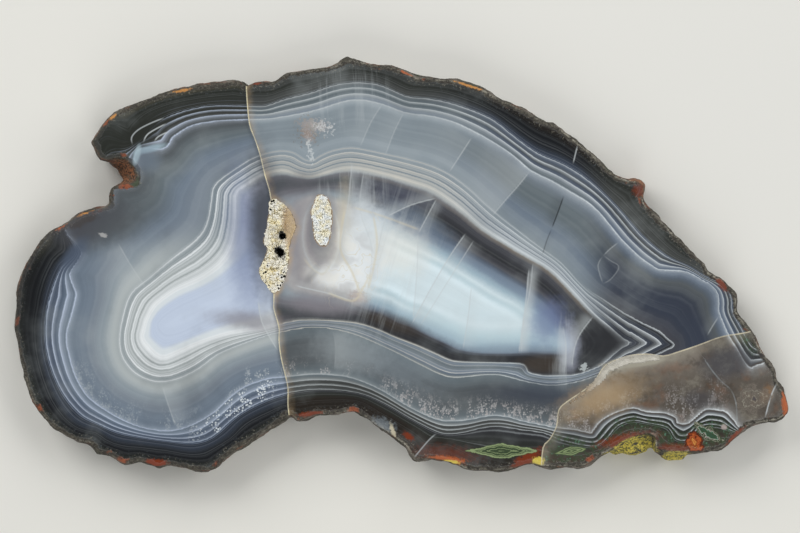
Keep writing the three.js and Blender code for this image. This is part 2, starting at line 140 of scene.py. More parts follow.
BAND_E: Points = (
    (134.8, 168), (133.6, 158), (137, 150.6), (144, 147), (162, 149), (169, 144), (172, 138), (177, 134),
    (190, 126), (208, 122), (227, 120), (248, 119.3), (272, 118.4), (311, 111.4), (342, 102), (361, 100),
    (383, 104.4), (406, 112.7), (430.6, 116), (453.6, 122), (476.5, 132.7), (495, 143.4), (515, 157),
    (531.6, 171), (553, 181.6), (571, 192), (587, 201.5), (599, 212), (611, 226.5), (624, 242),
    (639, 256), (649, 263.5), (658, 269.3), (670, 270), (684, 270.5), (695, 275), (703, 280),
    (710.5, 284), (717, 291.6), (719.4, 302), (719.4, 312), (724.5, 325), (731, 339), (736, 346.5),
    (744, 361.5), (750.6, 368), (757, 365), (775, 361), (786, 373), (793, 392), (797, 404), (795, 416),
    (786, 425), (764, 430), (750, 433), (741, 430), (734, 421), (727, 413), (719, 410.4), (706, 409.6),
    (699, 415), (688, 424), (677, 423), (676, 418), (664, 413), (646, 412), (633, 408), (615, 413),
    (601, 421), (593, 431), (590, 433), (573, 429.5), (556, 428), (542, 425.4), (521, 421), (507, 417),
    (489, 416), (469, 420), (452.6, 421), (438.6, 420), (423, 414), (402, 403), (381, 390), (355, 379),
    (333, 375), (308, 374.4), (286, 377), (267, 379), (246, 386), (231, 397), (216, 411), (199, 421.6),
    (182, 429), (166, 431.4), (147, 429), (127.6, 422.4), (108, 412), (89, 398), (76.5, 379), (69, 355),
    (66.3, 335), (72.7, 310), (76, 295), (74, 288), (69, 274), (76, 262), (80, 250), (64, 229), (79, 213),
    (97, 207), (109, 203), (107, 195), (109, 188), (118, 181), (133, 181.5),
)
BAND_M: Points = (
    (118, 339), (121, 318), (129.5, 293), (146, 278.5), (168, 260), (190, 242.5), (202, 229),
    (207.5, 214), (210.5, 195), (212, 188), (218, 180), (234, 168.5), (256, 155.5), (279, 149.5),
    (293.6, 151.5), (304, 158), (312, 160), (319, 155.5), (332, 149.5), (351, 146.5), (374, 150.5),
    (406, 157.5), (424, 162), (440, 168), (455, 176.5), (470, 188), (485, 202), (500, 215), (520, 231),
    (542, 248), (561.6, 262.5), (577, 279.5), (590, 292), (602, 299.5), (620, 311.5), (639, 322),
    (658.6, 332), (668, 340), (673.5, 344.8), (665, 350), (640, 361), (620, 368), (598, 375), (580, 381),
    (556, 385.5), (535, 383.5), (514, 379), (500, 375.5), (481, 375.5), (464, 377.5), (450, 377.5),
    (437, 373.5), (423, 366.5), (406, 358), (391, 350.5), (358.6, 336), (333, 328.8), (314, 327.3),
    (298.6, 328.5), (282, 331.8), (269, 335), (244, 344), (218, 355.5), (200, 369.5), (178.6, 380),
    (159, 383.5), (141, 378.5), (129, 369.5), (120.5, 356),
)
CORE_WALL: Points = (
    (144, 330.5), (148, 318), (155, 306), (164, 298), (176, 290), (190, 284), (204, 277), (218, 267),
    (228, 255), (234, 240), (236, 222), (236.5, 205), (237.5, 193), (246, 186), (264, 175.5),
    (282, 171.5), (297, 175.5), (310, 177.5), (323, 174.5), (342, 169), (361, 169.5), (387, 175.5),
    (412, 183), (425.7, 187), (438, 193), (451, 202), (465, 213), (483, 228.6), (508.6, 245), (531, 258),
    (549, 268.6), (567, 285), (582, 302), (595, 316), (610, 328.6), (622, 339.5), (628, 343), (621, 347),
    (613, 354), (606, 361), (597, 367.5), (577, 374.5), (559, 375.5), (544, 375.5), (529.5, 372.5),
    (526.5, 367), (520, 363), (486, 362), (458, 361), (447.5, 358.5), (433.5, 352), (416.5, 344.4),
    (395.5, 336.7), (378, 329), (356, 322.4), (327, 320.5), (302, 320), (282, 323.6), (262, 329),
    (230, 333), (200, 342), (178.6, 351), (161, 357), (148, 346), (142.6, 338),
)
RIGHT_CORE: Points = (
    (353, 211), (368, 212), (386, 217), (404, 226), (419, 233), (438, 242), (451, 248), (463, 256),
    (483, 268), (502, 280), (521, 290), (540, 304), (556, 322), (566, 334), (572, 345), (566, 352),
    (548, 351), (530, 351), (509, 353), (483, 352.6), (460, 349), (445, 342), (429.5, 335), (412, 326),
    (398, 321), (381, 312), (367, 308), (352, 300.6), (345, 296.6), (331, 294), (317, 292), (305, 288),
    (294, 285), (289, 272), (290, 255), (292, 235), (294, 218), (300, 205), (316, 198), (335, 204),
)
LEFT_CORE: Points = (
    (160, 324), (178, 311), (202, 300), (224, 290), (238, 281), (247, 279), (250, 289), (245, 299),
    (228, 307), (205, 317), (184, 328), (168, 332),
)
# The right tip of the core's wall, and a point on each of its sides.
WALL_TIP: Point = (629.5, 343)
WALL_TIP_SIDES: Points = ((610, 327.5), (612, 354.5))

# Where the slice was broken and healed: the cream line from top to bottom, the edge of the flake that
# came off at the lower right, and the seam between the two corners of that flake.
FISSURE_LINE: Points = (
    (246, 78), (247, 98), (249.6, 124), (254.7, 138), (260, 154), (265, 175), (271, 198),
    (274, 240), (274, 297), (274, 309), (279, 327), (279, 340), (281, 356.5), (284.6, 372),
    (288, 388), (288, 405), (290, 422),
)
FLAKE_LINE: Points = (
    (541, 475), (543, 448), (550, 439), (556.6, 426), (559, 409.6), (568, 401), (580, 393),
    (593, 383), (598, 376), (606, 365), (626, 356.5), (646, 354), (663, 356), (678, 352),
    (699, 345), (722, 336.6), (747, 332.4), (775, 324),
)
FLAKE_SEAM: Points = (
    (706, 361.5), (712.5, 371), (722, 382), (731, 390), (736, 403), (737, 419.5),
)
# The outlines of the two hollows.
FISSURE_HOLLOW: Points = (
    (271, 199), (285, 206), (293, 217), (296, 227), (292, 238), (288.5, 252), (288.5, 259),
    (285, 275), (280.5, 286), (272.5, 294), (268, 285), (262, 279), (258.7, 271), (264, 261),
    (268, 248), (264, 245), (265.6, 233.5), (268, 224), (270, 206),
)
SMALL_HOLLOW: Points = (
    (318, 195.6), (325, 197), (329, 201), (331, 217), (330, 233.5), (326, 245.5), (321, 245),
    (315, 238), (314, 224), (312, 212), (315, 204),
)


def to_mm(point: Point) -> Point:
    """Turns a point in pixels of the drawing into millimetres in the frame."""
    x, y = point
    return (x - DRAWING_ORIGIN[0]) * PIXEL_MM, (DRAWING_ORIGIN[1] - y) * PIXEL_MM


def to_linear(channel: float) -> float:
    """Turns one sRGB channel into Blender's linear value."""
    return channel / 12.92 if channel <= 0.04045 else ((channel + 0.055) / 1.055) ** 2.4


class Tint(Enum):
    """The stone's colours, as sRGB hex."""

    SOOT = "151618"
    SHALE = "3a404d"
    INK = "1e2126"
    NAVY = "2d3440"
    DUSK = "3c4555"
    SLATE = "4f5a6b"
    STEEL = "637081"
    HAZE = "74818f"
    FOG = "858f99"
    MIST = "96a1a8"
    DOVE = "a6afb2"
    PEARL = "b7bebe"
    CHALK = "cad0d1"
    ICE = "e2e9ec"
    SNOW = "f3f7f8"
    LODEN = "2b2d28"
    MOOR = "434543"
    LEAD = "575c5f"
    ZINC = "687277"
    SAGE = "88939a"
    BARK = "262019"
    OLIVE = "4a473a"
    UMBER = "453c33"
    TAUPE = "5f5850"
    DUN = "7d756b"
    LINEN = "a5a091"
    COAL = "303134"
    SMOKE = "4a4b51"
    ASH = "74757b"
    MAUVE = "8b878d"
    PLUM = "54586a"
    INDIGO = "6e7ba0"
    DENIM = "7f90a2"
    AQUA = "a9c0cc"
    GLACIER = "c4dae1"
    FROST = "dcecf1"
    GLINT = "e8f9ff"
    LILAC = "c3cadb"
    SKY = "cad6e9"
    WATER = "d3dff1"
    MILK = "bab9b7"
    IVORY = "d9d5ca"
    RUST = "7d3417"
    IRON = "b75f30"
    AMBER = "cf9048"
    CLAY = "94613f"
    SAND = "c4a880"
    CREAM = "ddd2b4"
    SUGAR = "f4f1e6"
    STRAW = "f4e8bd"
    OCHRE = "806a3e"
    BLUSH = "b8a9a3"
    SULPHUR = "dcc857"
    MOSS = "3c4a33"
    LIME = "8f9f72"
    GREEN = "2f5a48"
    FERN = "5f8a72"
    FLOOR = "e0e0dd"

    @property
    def rgba(self) -> tuple[float, float, float, float]:
        """The colour in Blender's linear values."""
        return (*(to_linear(int(self.value[i:i + 2], 16) / 255) for i in (0, 2, 4)), 1.0)


def stops(text: str) -> Stops:
    """Reads the stops of a ramp, each a place and the name of a tint, with commas between them."""
    return tuple((float(at), Tint[tint]) for at, tint in map(str.split, text.split(",")))


def ease(value: np.ndarray, low: float, high: float) -> np.ndarray:
    """Eases from 0 to 1 while the value goes from low to high."""
    t = np.clip((value - low) / (high - low), 0, 1)
    return t * t * (3 - 2 * t)


@dataclass(frozen=True)
class Outline:
    """A drawn line, smoothed and measured in the frame.

    Attributes:
        drawn: its points in pixels of the drawing.
        closed: whether it is a loop.
        steps: how many pieces each drawn stretch is cut into.
    """

    drawn: Points
    closed: bool = True
    steps: int = 3

    def path(self) -> np.ndarray:
        """Runs a smooth curve through the drawn points.

        Returns:
            The curve's points in millimetres, the first one again at the end of a loop.
        """
        p = np.array([to_mm(q) for q in self.drawn])
        if self.closed:
            before, after, ahead = np.roll(p, 1, 0), np.roll(p, -1, 0), np.roll(p, -2, 0)
        else:
            before = np.vstack([p[:1], p[:-2]])
            after, ahead = p[1:], np.vstack([p[2:], p[-1:]])
            p = p[:-1]
        parts = []
        for step in range(self.steps):
            t = step / self.steps
            parts.append(0.5 * (
                2 * p + (after - before) * t
                + (2 * before - 5 * p + 4 * after - ahead) * t ** 2
                + (3 * p - before - 3 * after + ahead) * t ** 3
            ))
        curve = np.stack(parts, 1).reshape(-1, 2)
        last = curve[:1] if self.closed else np.array([to_mm(self.drawn[-1])])
        return np.vstack([curve, last])

    def distance(self, places: np.ndarray) -> np.ndarray:
        """Measures places against the line.

        Args:
            places: x and y of each place, in millimetres.

        Returns:
            Millimetres to the line. Inside a loop they are positive and outside it negative.
            Beside an open line they are positive on its left as it runs.
        """
        path = self.path()
        start, end = path[:-1], path[1:]
        distance = measure(places, start, end)[0]
        if self.closed:
            return np.where(enclosed(places, start, end), 1.0, -1.0) * np.abs(distance)
        return distance


def measure(places: np.ndarray, start: np.ndarray, end: np.ndarray) -> tuple[np.ndarray, np.ndarray]:
    """Measures places against a line of straight pieces.

    Args:
        places: x and y of each place.
        start: where each piece starts.
        end: where each piece ends.

    Returns:
        The distance of each place to the line, negative on its right as it runs, and how far along
        the line its nearest point is.
    """
    run = end - start
    square = np.maximum((run ** 2).sum(1), TINY)
    begins = np.concatenate([[0.0], np.cumsum(np.sqrt(square))[:-1]])
    distance, reached = np.empty(len(places)), np.empty(len(places))
    for first in range(0, len(places), CHUNK):
        part = slice(first, first + CHUNK)
        p = places[part, None, :]
        share = np.clip(((p - start) * run).sum(2) / square, 0, 1)
        offset = p - (start + share[..., None] * run)
        far = (offset ** 2).sum(2)
        nearest = far.argmin(1)
        rows = np.arange(len(nearest))
        near, line = offset[rows, nearest], run[nearest]
        left = line[:, 0] * near[:, 1] - line[:, 1] * near[:, 0] > 0
        distance[part] = np.sqrt(far[rows, nearest]) * np.where(left, 1.0, -1.0)
        reached[part] = begins[nearest] + share[rows, nearest] * np.sqrt(square[nearest])
    return distance, reached


def enclosed(places: np.ndarray, start: np.ndarray, end: np.ndarray) -> np.ndarray:
    """Tells which places lie inside a loop of straight pieces.

    Args:
        places: x and y of each place.
        start: where each piece starts.
        end: where each piece ends.

    Returns:
        True for each place inside.
    """
    run = end - start
    rise = np.where(run[:, 1] == 0, TINY, run[:, 1])
    result = np.empty(len(places), bool)
    for first in range(0, len(places), CHUNK):
        p = places[first:first + CHUNK, None, :]
        crosses = (start[:, 1] > p[..., 1]) != (end[:, 1] > p[..., 1])
        left = p[..., 0] < start[:, 0] + (p[..., 1] - start[:, 1]) * run[:, 0] / rise
        result[first:first + CHUNK] = (crosses & left).sum(1) % 2 == 1
    return result


@dataclass(frozen=True)
class Growth:
    """Where a place lies between the bands of the stone, as one value that grows inwards.

    It is 0 at the rim, 1 to 4 on the bands A, B, E and M, 5 on the wall of the core and 6 on the edge
    of its pale middle.

    Attributes:
        core_depth: how deep in the pale middle the value reaches 7, in millimetres.
        thinnest: the least width that a band is taken to have.
        beyond: the distance to the tip that stands for all places west of it.
    """

    core_depth: float = 10.0
    thinnest: float = 1e-6
    beyond: float = 1e3

    def values(self, places: np.ndarray, rim: np.ndarray) -> np.ndarray:
        """Works out the growth value of places.

        Args:
            places: x and y of each place, in millimetres.
            rim: the distance of each place to the rim, in millimetres.

        Returns:
            The growth value, from 0 to 7.
        """
        cores = [Outline(loop).distance(places) for loop in (RIGHT_CORE, LEFT_CORE)]
        bands = [Outline(loop).distance(places) for loop in (BAND_A, BAND_B, BAND_E, BAND_M, CORE_WALL)]
        bands[-1] = np.maximum(bands[-1], -self.mitred(places))
        depths = [np.maximum(rim, 0), *bands, np.maximum(*cores)]
        total = np.zeros(len(places))
        for outer, inner in zip(depths, depths[1:]):
            span = np.maximum(outer - inner, self.thinnest)
            total += np.where(inner >= 0, 1.0, np.clip(outer / span, 0, 1))
        return total + np.clip(depths[-1] / self.core_depth, 0, 1)

    def mitred(self, places: np.ndarray) -> np.ndarray:
        """The distance from the core's right tip that keeps the bands beyond it pointed.

        Args:
            places: x and y of each place, in millimetres.

        Returns:
            The distance in millimetres, and a very large one west of the tip.
        """
        tip = np.array(to_mm(WALL_TIP))
        sides = np.array([to_mm(side) for side in WALL_TIP_SIDES]) - tip
        sides /= np.linalg.norm(sides, axis=1)[:, None]
        out = np.stack([-sides[:, 1], sides[:, 0]], 1)
        out *= np.sign(out[:, :1])
        past = ((places - tip) @ out.T).max(1)
        return np.where((places[:, 0] > tip[0]) & (past > 0), past, self.beyond)


class Graph:
    """Adds nodes to a material or a node group, with a short call for each kind that is used."""

    def __init__(self, tree: bpy.types.NodeTree) -> None:
        """Keeps the tree that nodes are added to."""
        self.tree = tree

    def node(self, kind: str, inputs: dict[str | int, object], **settings: object) -> bpy.types.Node:
        """Adds one node.

        Args:
            kind: the node's Blender type, without the word ShaderNode.
            inputs: what each named or numbered input gets.
            settings: the node's own properties.

        Returns:
            The new node.
        """
        made = self.tree.nodes.new("ShaderNode" + kind)
        for name, value in settings.items():
            setattr(made, name, value)
        self.feed(made, inputs)
        return made

    def feed(self, node: bpy.types.Node, inputs: dict[str | int, object]) -> None:
        """Gives a node its inputs.

        Args:
            node: the node.
            inputs: a socket, a Tint or a value for each named or numbered input. None leaves it.
        """
        for name, value in inputs.items():
            if isinstance(value, bpy.types.NodeSocket):
                self.tree.links.new(value, node.inputs[name])
            elif value is not None:
                node.inputs[name].default_value = value.rgba if isinstance(value, Tint) else value

    def math(self, operation: str, a: Value, b: Value | None = None) -> Socket:
        """Works out one value from one or two others."""
        return self.node("Math", {0: a, 1: b}, operation=operation).outputs[0]

    def times(self, *values: Value) -> Socket:
        """Multiplies values, from the first to the last."""
        return reduce(lambda a, b: self.math("MULTIPLY", a, b), values)

    def vector(self, operation: str, a: object, b: object) -> Socket:
        """Works out one vector from two others."""
        return self.node("VectorMath", {0: a, 1: b}, operation=operation).outputs[0]

    def scaled(self, vector: Socket, factor: float) -> Socket:
        """Makes a vector longer or shorter."""
        return self.node("VectorMath", {0: vector, "Scale": factor}, operation="SCALE").outputs[0]

    def turned(self, vector: Socket, angle: Value) -> Socket:
        """Turns a vector about Z."""
        inputs = {"Vector": vector, "Angle": angle}
        return self.node("VectorRotate", inputs, rotation_type="Z_AXIS").outputs[0]

    def axes(self, vector: Socket) -> list[Socket]:
        """The x, y and z of a vector."""
        return list(self.node("SeparateXYZ", {0: vector}).outputs)

    def scale(self, value: Value, low: Value, high: Value, start: float = 0.0, end: float = 1.0,
              kind: str = "LINEAR") -> Socket:
        """Maps a value from low..high to start..end."""
        inputs = {"Value": value, "From Min": low, "From Max": high, "To Min": start, "To Max": end}
        return self.node("MapRange", inputs, interpolation_type=kind).outputs[0]

    def step(self, value: Value, low: Value, high: Value, start: float = 0.0, end: float = 1.0) -> Socket:
        """Eases from start to end while the value goes from low to high."""
        return self.scale(value, low, high, start, end, "SMOOTHSTEP")

    def between(self, value: Value, rise: Span, fall: Span) -> Socket:
        """A mask that rises over one span of the value and falls over another."""
        return self.times(self.step(value, *rise), self.step(value, *fall))

    def mix(self, factor: Value, a: object, b: object) -> Socket:
        """Mixes two colours."""
        return self.node("Mix", {0: factor, 6: a, 7: b}, data_type="RGBA").outputs[2]

    def over(self, colour: Socket, tint: Socket | Tint, *masks: Value) -> Socket:
        """Lays a tint over a colour, as strongly as the product of the masks."""
        return self.mix(self.times(*masks), colour, tint)

    def blend(self, factor: Value, a: Value, b: Value) -> Socket:
        """Mixes two values."""
        return self.node("Mix", {0: factor, 2: a, 3: b}, data_type="FLOAT").outputs[0]

    def ramp(self, value: Socket, looks: Stops, low: float = 0.0, high: float = 1.0) -> Socket:
        """Looks a colour or a brightness up along a value.

        Args:
            value: where on the ramp to look.
            looks: the place of each stop between low and high, and its Tint or brightness.
            low: the value at the ramp's start.
            high: the value at its end.

        Returns:
            The ramp's colour.
        """
        made = self.node("ValToRGB", {0: self.scale(value, low, high)})
        elements = made.color_ramp.elements
        while len(elements) < len(looks):
            elements.new(0.5)
        for element, (at, look) in zip(elements, looks):
            element.position = (at - low) / (high - low)
            element.color = look.rgba if isinstance(look, Tint) else (look, look, look, 1.0)
        return made.outputs[0]

    def noise(self, vector: Socket, scale: float, detail: float = 3.0, roughness: float = 0.55) -> Socket:
        """Soft noise about 0.5 over a vector, with scale in cells per unit."""
        inputs = {"Vector": vector, "Scale": scale, "Detail": detail, "Roughness": roughness}
        return self.node("TexNoise", inputs).outputs[0]

    def stripes(self, value: Socket, scale: float, detail: float) -> Socket:
        """Noise about 0.5 along one value."""
        inputs = {"W": value, "Scale": scale, "Detail": detail}
        return self.node("TexNoise", inputs, noise_dimensions="1D").outputs[0]

    def place(self) -> Socket:
        """The piece's own coordinates, in millimetres."""
        return self.scaled(self.node("TexCoord", {}).outputs["Object"], 1 / MM)

    def attribute(self, name: str) -> Socket:
        """A value that each vertex of the piece carries."""
        return self.node("Attribute", {}, attribute_name=name).outputs["Fac"]


class GroupMaker:
    """Makes a shader node group with named inputs, and outputs that are all Float."""

    def __init__(self, name: str, inputs: dict[str, str], outputs: tuple[str, ...]) -> None:
        """Opens the group.

        Args:
            name: the group's name.
            inputs: the type of each named input, Float or Vector.
            outputs: the name of each output.
        """
        self.tree = bpy.data.node_groups.new(name, "ShaderNodeTree")
        for label, kind in inputs.items():
            self.tree.interface.new_socket(label, in_out="INPUT", socket_type="NodeSocket" + kind)
        for label in outputs:
            self.tree.interface.new_socket(label, in_out="OUTPUT", socket_type="NodeSocketFloat")
        self.graph = Graph(self.tree)
        self.inputs = self.tree.nodes.new("NodeGroupInput").outputs
        self.result = self.tree.nodes.new("NodeGroupOutput")

    def close(self, results: dict[str, Socket]) -> bpy.types.NodeTree:
        """Connects the outputs by name, and gives the finished group."""
        self.graph.feed(self.result, results)
        return self.tree


def patch_group() -> bpy.types.NodeTree:
    """A ragged oval: how far into it a place lies, and the place's share of the way out.

    Returns:
        The group, with the outputs Mask and Radius.
    """
    maker = GroupMaker(
        "patch",
        {"Place": "Vector", "Centre": "Vector", "Half": "Vector", "Turn": "Float", "Ragged": "Float",
         "Soft": "Float", "Waver": "Float", "Point": "Float"},
        ("Mask", "Radius"),
    )
    g, at = maker.graph, maker.inputs
    turned = g.turned(g.vector("SUBTRACT", at["Place"], at["Centre"]), at["Turn"])
    flat = g.vector("MULTIPLY", turned, (1.0, 1.0, 0.0))
    shares = g.vector("DIVIDE", flat, at["Half"])
    x, y, _ = g.axes(shares)
    diamond = g.math("ADD", g.math("ABSOLUTE", x), g.math("ABSOLUTE", y))
    round_share = g.node("VectorMath", {0: shares}, operation="LENGTH").outputs[1]
    radius = g.blend(at["Point"], round_share, diamond)
    wander = g.times(g.math("SUBTRACT", at["Waver"], 0.5), at["Ragged"])
    radius = g.math("ADD", radius, wander)
    low = g.math("SUBTRACT", 1.0, at["Soft"])
    high = g.math("ADD", 1.0, at["Soft"])
    mask = g.math("SUBTRACT", 1.0, g.step(radius, low, high))
    return maker.close({"Mask": mask, "Radius": radius})


def fleck_group() -> bpy.types.NodeTree:
    """Grains of uneven size and light, for crystals and the specks inside the stone.

    Returns:
        The group, with the outputs Grain, a value for each grain, and Speck, a mask of the share of
        the grains that are brightest.
    """
    maker = GroupMaker(
        "flecks",
        {"Place": "Vector", "Scale": "Float", "Share": "Float"},
        ("Grain", "Speck"),
    )
    g, at = maker.graph, maker.inputs
    warp = g.node("TexNoise", {"Vector": at["Place"], "Scale": at["Scale"], "Detail": 2.0}).outputs[1]
    moved = g.vector("ADD", at["Place"], g.scaled(warp, 0.35))
    cells = g.node("TexVoronoi", {"Vector": moved, "Scale": at["Scale"]}).outputs
    grain = g.node("SeparateColor", {0: cells["Color"]}).outputs[0]
    edge = g.math("SUBTRACT", 1.0, at["Share"])
    chosen = g.math("GREATER_THAN", grain, edge)
    speck = g.times(chosen, g.step(cells["Distance"], 0.3, 0.5, 1.0, 0.0))
    return maker.close({"Grain": grain, "Speck": speck})


@dataclass(frozen=True)
class Patch:
    """An oval patch of another colour, in drawn pixels.

    half is its half width and half height, and turn is in radians, positive where it rises to the
    right. Its edge wanders by ragged and fades over soft, both shares of its size. A fine patch's edge
    wanders in small steps.
    """

    tint: Tint
    centre: Point
    half: Point
    turn: float = 0.0
    strength: float = 1.0
    ragged: float = 0.9
    soft: float = 0.25
    fine: bool = False


@dataclass(frozen=True)
class Rosette:
    """An oval pocket with rings of its own, placed as a patch is.

    The rings go from its middle out. pointed is 0 for an oval and 1 for a diamond.
    """

    centre: Point
    half: Point
    turn: float
    ragged: float
    rings: Stops
    strength: float = 1.0
    soft: float = 0.06
    pointed: float = 0.0


@dataclass(frozen=True)
class Crack:
    """A healed crack inside the stone: a fine line, and a veil on its left that fades away from it.

    Attributes:
        drawn: the points it runs through, in drawn pixels.
        line: how bright the line is, or how dark if it is negative.
        veil: how bright the veil is, or how dark if it is negative.
        veil_width: how far the veil reaches, in drawn pixels.
    """

    drawn: Points
    line: float = 0.6
    veil: float = 0.25
    veil_width: float = 18.0

    def values(self, places: np.ndarray) -> tuple[np.ndarray, np.ndarray, np.ndarray]:
        """Works out what the crack adds to each place.

        Args:
            places: x and y of each place, in millimetres.

        Returns:
            The signed distance to its line, the strength of the line and that of the veil.
        """
        path = Outline(self.drawn, closed=False, steps=4).path()
        beside, along = measure(places, path[:-1], path[1:])
        length = np.sqrt((np.diff(path, axis=0) ** 2).sum(1)).sum()
        fade = min(CRACK_FADE, length * CRACK_FADE_SHARE)
        ends = ease(along, 0.0, fade) * ease(along, length, length - fade)
        near = ease(np.abs(beside), CRACK_REACH, CRACK_REACH / 2)
        width = self.veil_width * PIXEL_MM
        veil = ease(beside, width, 0.0) * ease(beside, *VEIL_START) * ends * self.veil
        return beside, ends * near * self.line, veil


# The lines and loops that each vertex of the slice is measured against, by attribute name.
MEASURED = {
    "fissure": Outline(FISSURE_LINE, closed=False),
    "flake": Outline(FLAKE_LINE, closed=False),
    "seam": Outline(FLAKE_SEAM, closed=False),
    "hollow": Outline(FISSURE_HOLLOW),
    "pocket": Outline(SMALL_HOLLOW),
}

# Colour along the growth value, away from the bright lines, for each part of the face.
LEFT_COLOURS = stops(
    "0.0 MOOR, 0.2 LODEN, 0.5 SOOT, 0.9 INK, 1.3 NAVY, 1.8 NAVY, 2.0 SLATE, 2.3 SLATE, 2.55 STEEL, "
    "2.9 HAZE, 3.05 HAZE, 3.3 HAZE, 3.5 FOG, 3.7 MIST, 3.9 PEARL, 4.15 DOVE, 4.4 PEARL, 4.7 PEARL, "
    "4.9 CHALK, 5.03 SNOW, 5.12 ICE, 5.25 ICE, 5.45 SKY, 6.0 SKY, 6.25 WATER, 7.0 WATER"
)
HORN_COLOURS = stops(
    "0.0 LEAD, 0.25 OLIVE, 0.5 LODEN, 1.5 LODEN, 1.95 LODEN, 2.2 LODEN, 2.6 MOOR, 2.95 LEAD, 3.1 LEAD, "
    "3.35 ZINC, 3.6 HAZE, 3.9 FOG, 4.1 SAGE, 4.4 SAGE, 4.8 MIST, 5.0 DOVE, 5.15 LILAC, 5.4 DENIM, "
    "5.8 INDIGO, 7.0 SKY"
)
TOP_COLOURS = stops(
    "0.0 LEAD, 0.3 MOOR, 0.7 LODEN, 1.1 MOOR, 1.7 MOOR, 2.0 LEAD, 2.3 ZINC, 2.55 ZINC, 2.9 FOG, "
    "3.05 MIST, 3.2 SAGE, 3.6 SAGE, 3.85 MIST, 4.1 MIST, 4.3 MIST, 4.6 SAGE, 4.85 SAGE, 5.03 DOVE, "
    "5.12 ASH, 5.3 LEAD, 5.5 ASH, 5.75 MIST, 5.95 MILK, 6.1 MILK, 6.25 IVORY, 6.5 SUGAR, 7.0 SUGAR"
)
RIGHT_COLOURS = stops(
    "0.0 LEAD, 0.15 BARK, 0.5 SOOT, 0.9 INK, 1.3 NAVY, 1.8 DUSK, 2.1 SLATE, 2.4 LEAD, 2.6 SLATE, "
    "2.9 ZINC, 3.05 FOG, 3.25 ZINC, 3.45 ZINC, 3.7 HAZE, 4.0 SAGE, 4.3 MIST, 4.5 FOG, 4.8 FOG, "
    "5.02 DOVE, 5.08 DUN, 5.2 SMOKE, 5.5 COAL, 5.72 SMOKE, 5.9 STEEL, 6.03 DENIM, 6.13 AQUA, "
    "6.24 FROST, 6.3 GLACIER, 6.38 GLINT, 6.46 FROST, 6.56 FROST, 7.0 GLINT"
)
LOW_COLOURS = stops(
    "0.0 UMBER, 0.4 BARK, 1.0 BARK, 1.5 LODEN, 1.9 COAL, 2.2 MOOR, 2.6 MOOR, 2.95 ZINC, 3.06 ZINC, "
    "3.3 LEAD, 3.5 LEAD, 3.7 LEAD, 3.95 ZINC, 4.1 ZINC, 4.25 STEEL, 4.4 HAZE, 4.6 ZINC, 4.85 HAZE, "
    "4.96 ZINC, 5.03 COAL, 5.6 COAL, 5.85 SMOKE, 5.98 HAZE, 6.1 AQUA, 6.25 GLACIER, 6.4 FROST, "
    "7.0 GLACIER"
)
END_COLOURS = stops(
    "0.0 LEAD, 0.3 LODEN, 1.0 MOOR, 1.7 MOOR, 2.0 SLATE, 2.3 MOOR, 2.6 SLATE, 2.95 STEEL, 3.06 STEEL, "
    "3.2 LEAD, 3.4 SHALE, 3.7 SHALE, 3.97 SMOKE, 4.03 COAL, 4.2 SHALE, 4.3 SMOKE, 4.36 COAL, "
    "4.54 SHALE, 4.6 SMOKE, 4.67 COAL, 4.9 SHALE, 4.97 SMOKE, 5.08 COAL, 5.5 COAL, 6.0 SMOKE, 7.0 DENIM"
)
FLAKE_COLOURS = stops(
    "0.0 BARK, 0.3 UMBER, 0.9 UMBER, 1.4 UMBER, 1.9 LODEN, 2.4 LODEN, 2.8 COAL, 3.0 TAUPE, 3.2 TAUPE, "
    "3.4 TAUPE, 3.6 DUN, 3.8 DUN, 4.0 LINEN, 7.0 LINEN"
)

# Where the growth value ends, and how far it wanders with broad and with fine noise.
LAST_GROWTH = 7.0
BROAD_WANDER = 0.05
FINE_WANDER = 0.03

# Where one part of the face turns into the next: where each change starts and where it is done, in
# millimetres of the distance to the break, of y, of x or of the distance to the flake's edge. IN_CORE
# is in growth.
PAST_BREAK = (-0.5, 0.6)
NORTH = (-1.0, 7.0)
IN_CORE = (5.05, 5.2)
EAST = (1.0, 19.0)
CORE_EAST = (-7.5, -4.0)
LOW = (-4.5, -9.5)
END = (26.0, 33.0)
ON_FLAKE = (0.06, -0.06)
FLAKE_EAST = (15.0, 17.0)
BOTTOM = (-13.0, -17.0)
WORN_EDGE = (-18.0, 0.0)
# How far the rim's grain reaches at most, in millimetres.
RIM_GRAIN = 1.5

# Brightness of the fine lines along the growth value: the outer set, the inner one, and the inner one
# in the lower band and where it comes to a point at the right. A line starts sharply on its outer side
# and fades inwards. Before them, the growth that each set lies between.
OUTER_REACH = (1.3, 3.25)
INNER_REACH = (3.9, 5.12)
OUTER_LINES = (
    (1.4, 0.0), (1.43, 0.2), (1.46, 0.0), (1.86, 0.0), (1.895, 0.3), (1.93, 0.0), (2.005, 0.0),
    (2.05, 0.8), (2.08, 0.25), (2.14, 0.0), (2.29, 0.0), (2.335, 0.95), (2.37, 0.35), (2.46, 0.0),
    (2.61, 0.0), (2.665, 1.0), (2.7, 0.5), (2.8, 0.18), (2.9, 0.0), (2.955, 0.05), (3.0, 1.0),
    (3.015, 0.4), (3.05, 0.12), (3.12, 0.0),
)
INNER_LINES = (
    (4.03, 0.0), (4.065, 0.75), (4.1, 0.0), (4.23, 0.0), (4.275, 1.0), (4.31, 0.3), (4.35, 0.4),
    (4.38, 0.0), (4.43, 0.3), (4.46, 0.0), (4.5, 0.0), (4.545, 0.95), (4.585, 0.4), (4.63, 0.7),
    (4.665, 0.0), (4.71, 0.0), (4.76, 0.75), (4.82, 0.3), (4.88, 0.7), (4.96, 1.0), (5.02, 0.5),
    (5.09, 0.0),
)
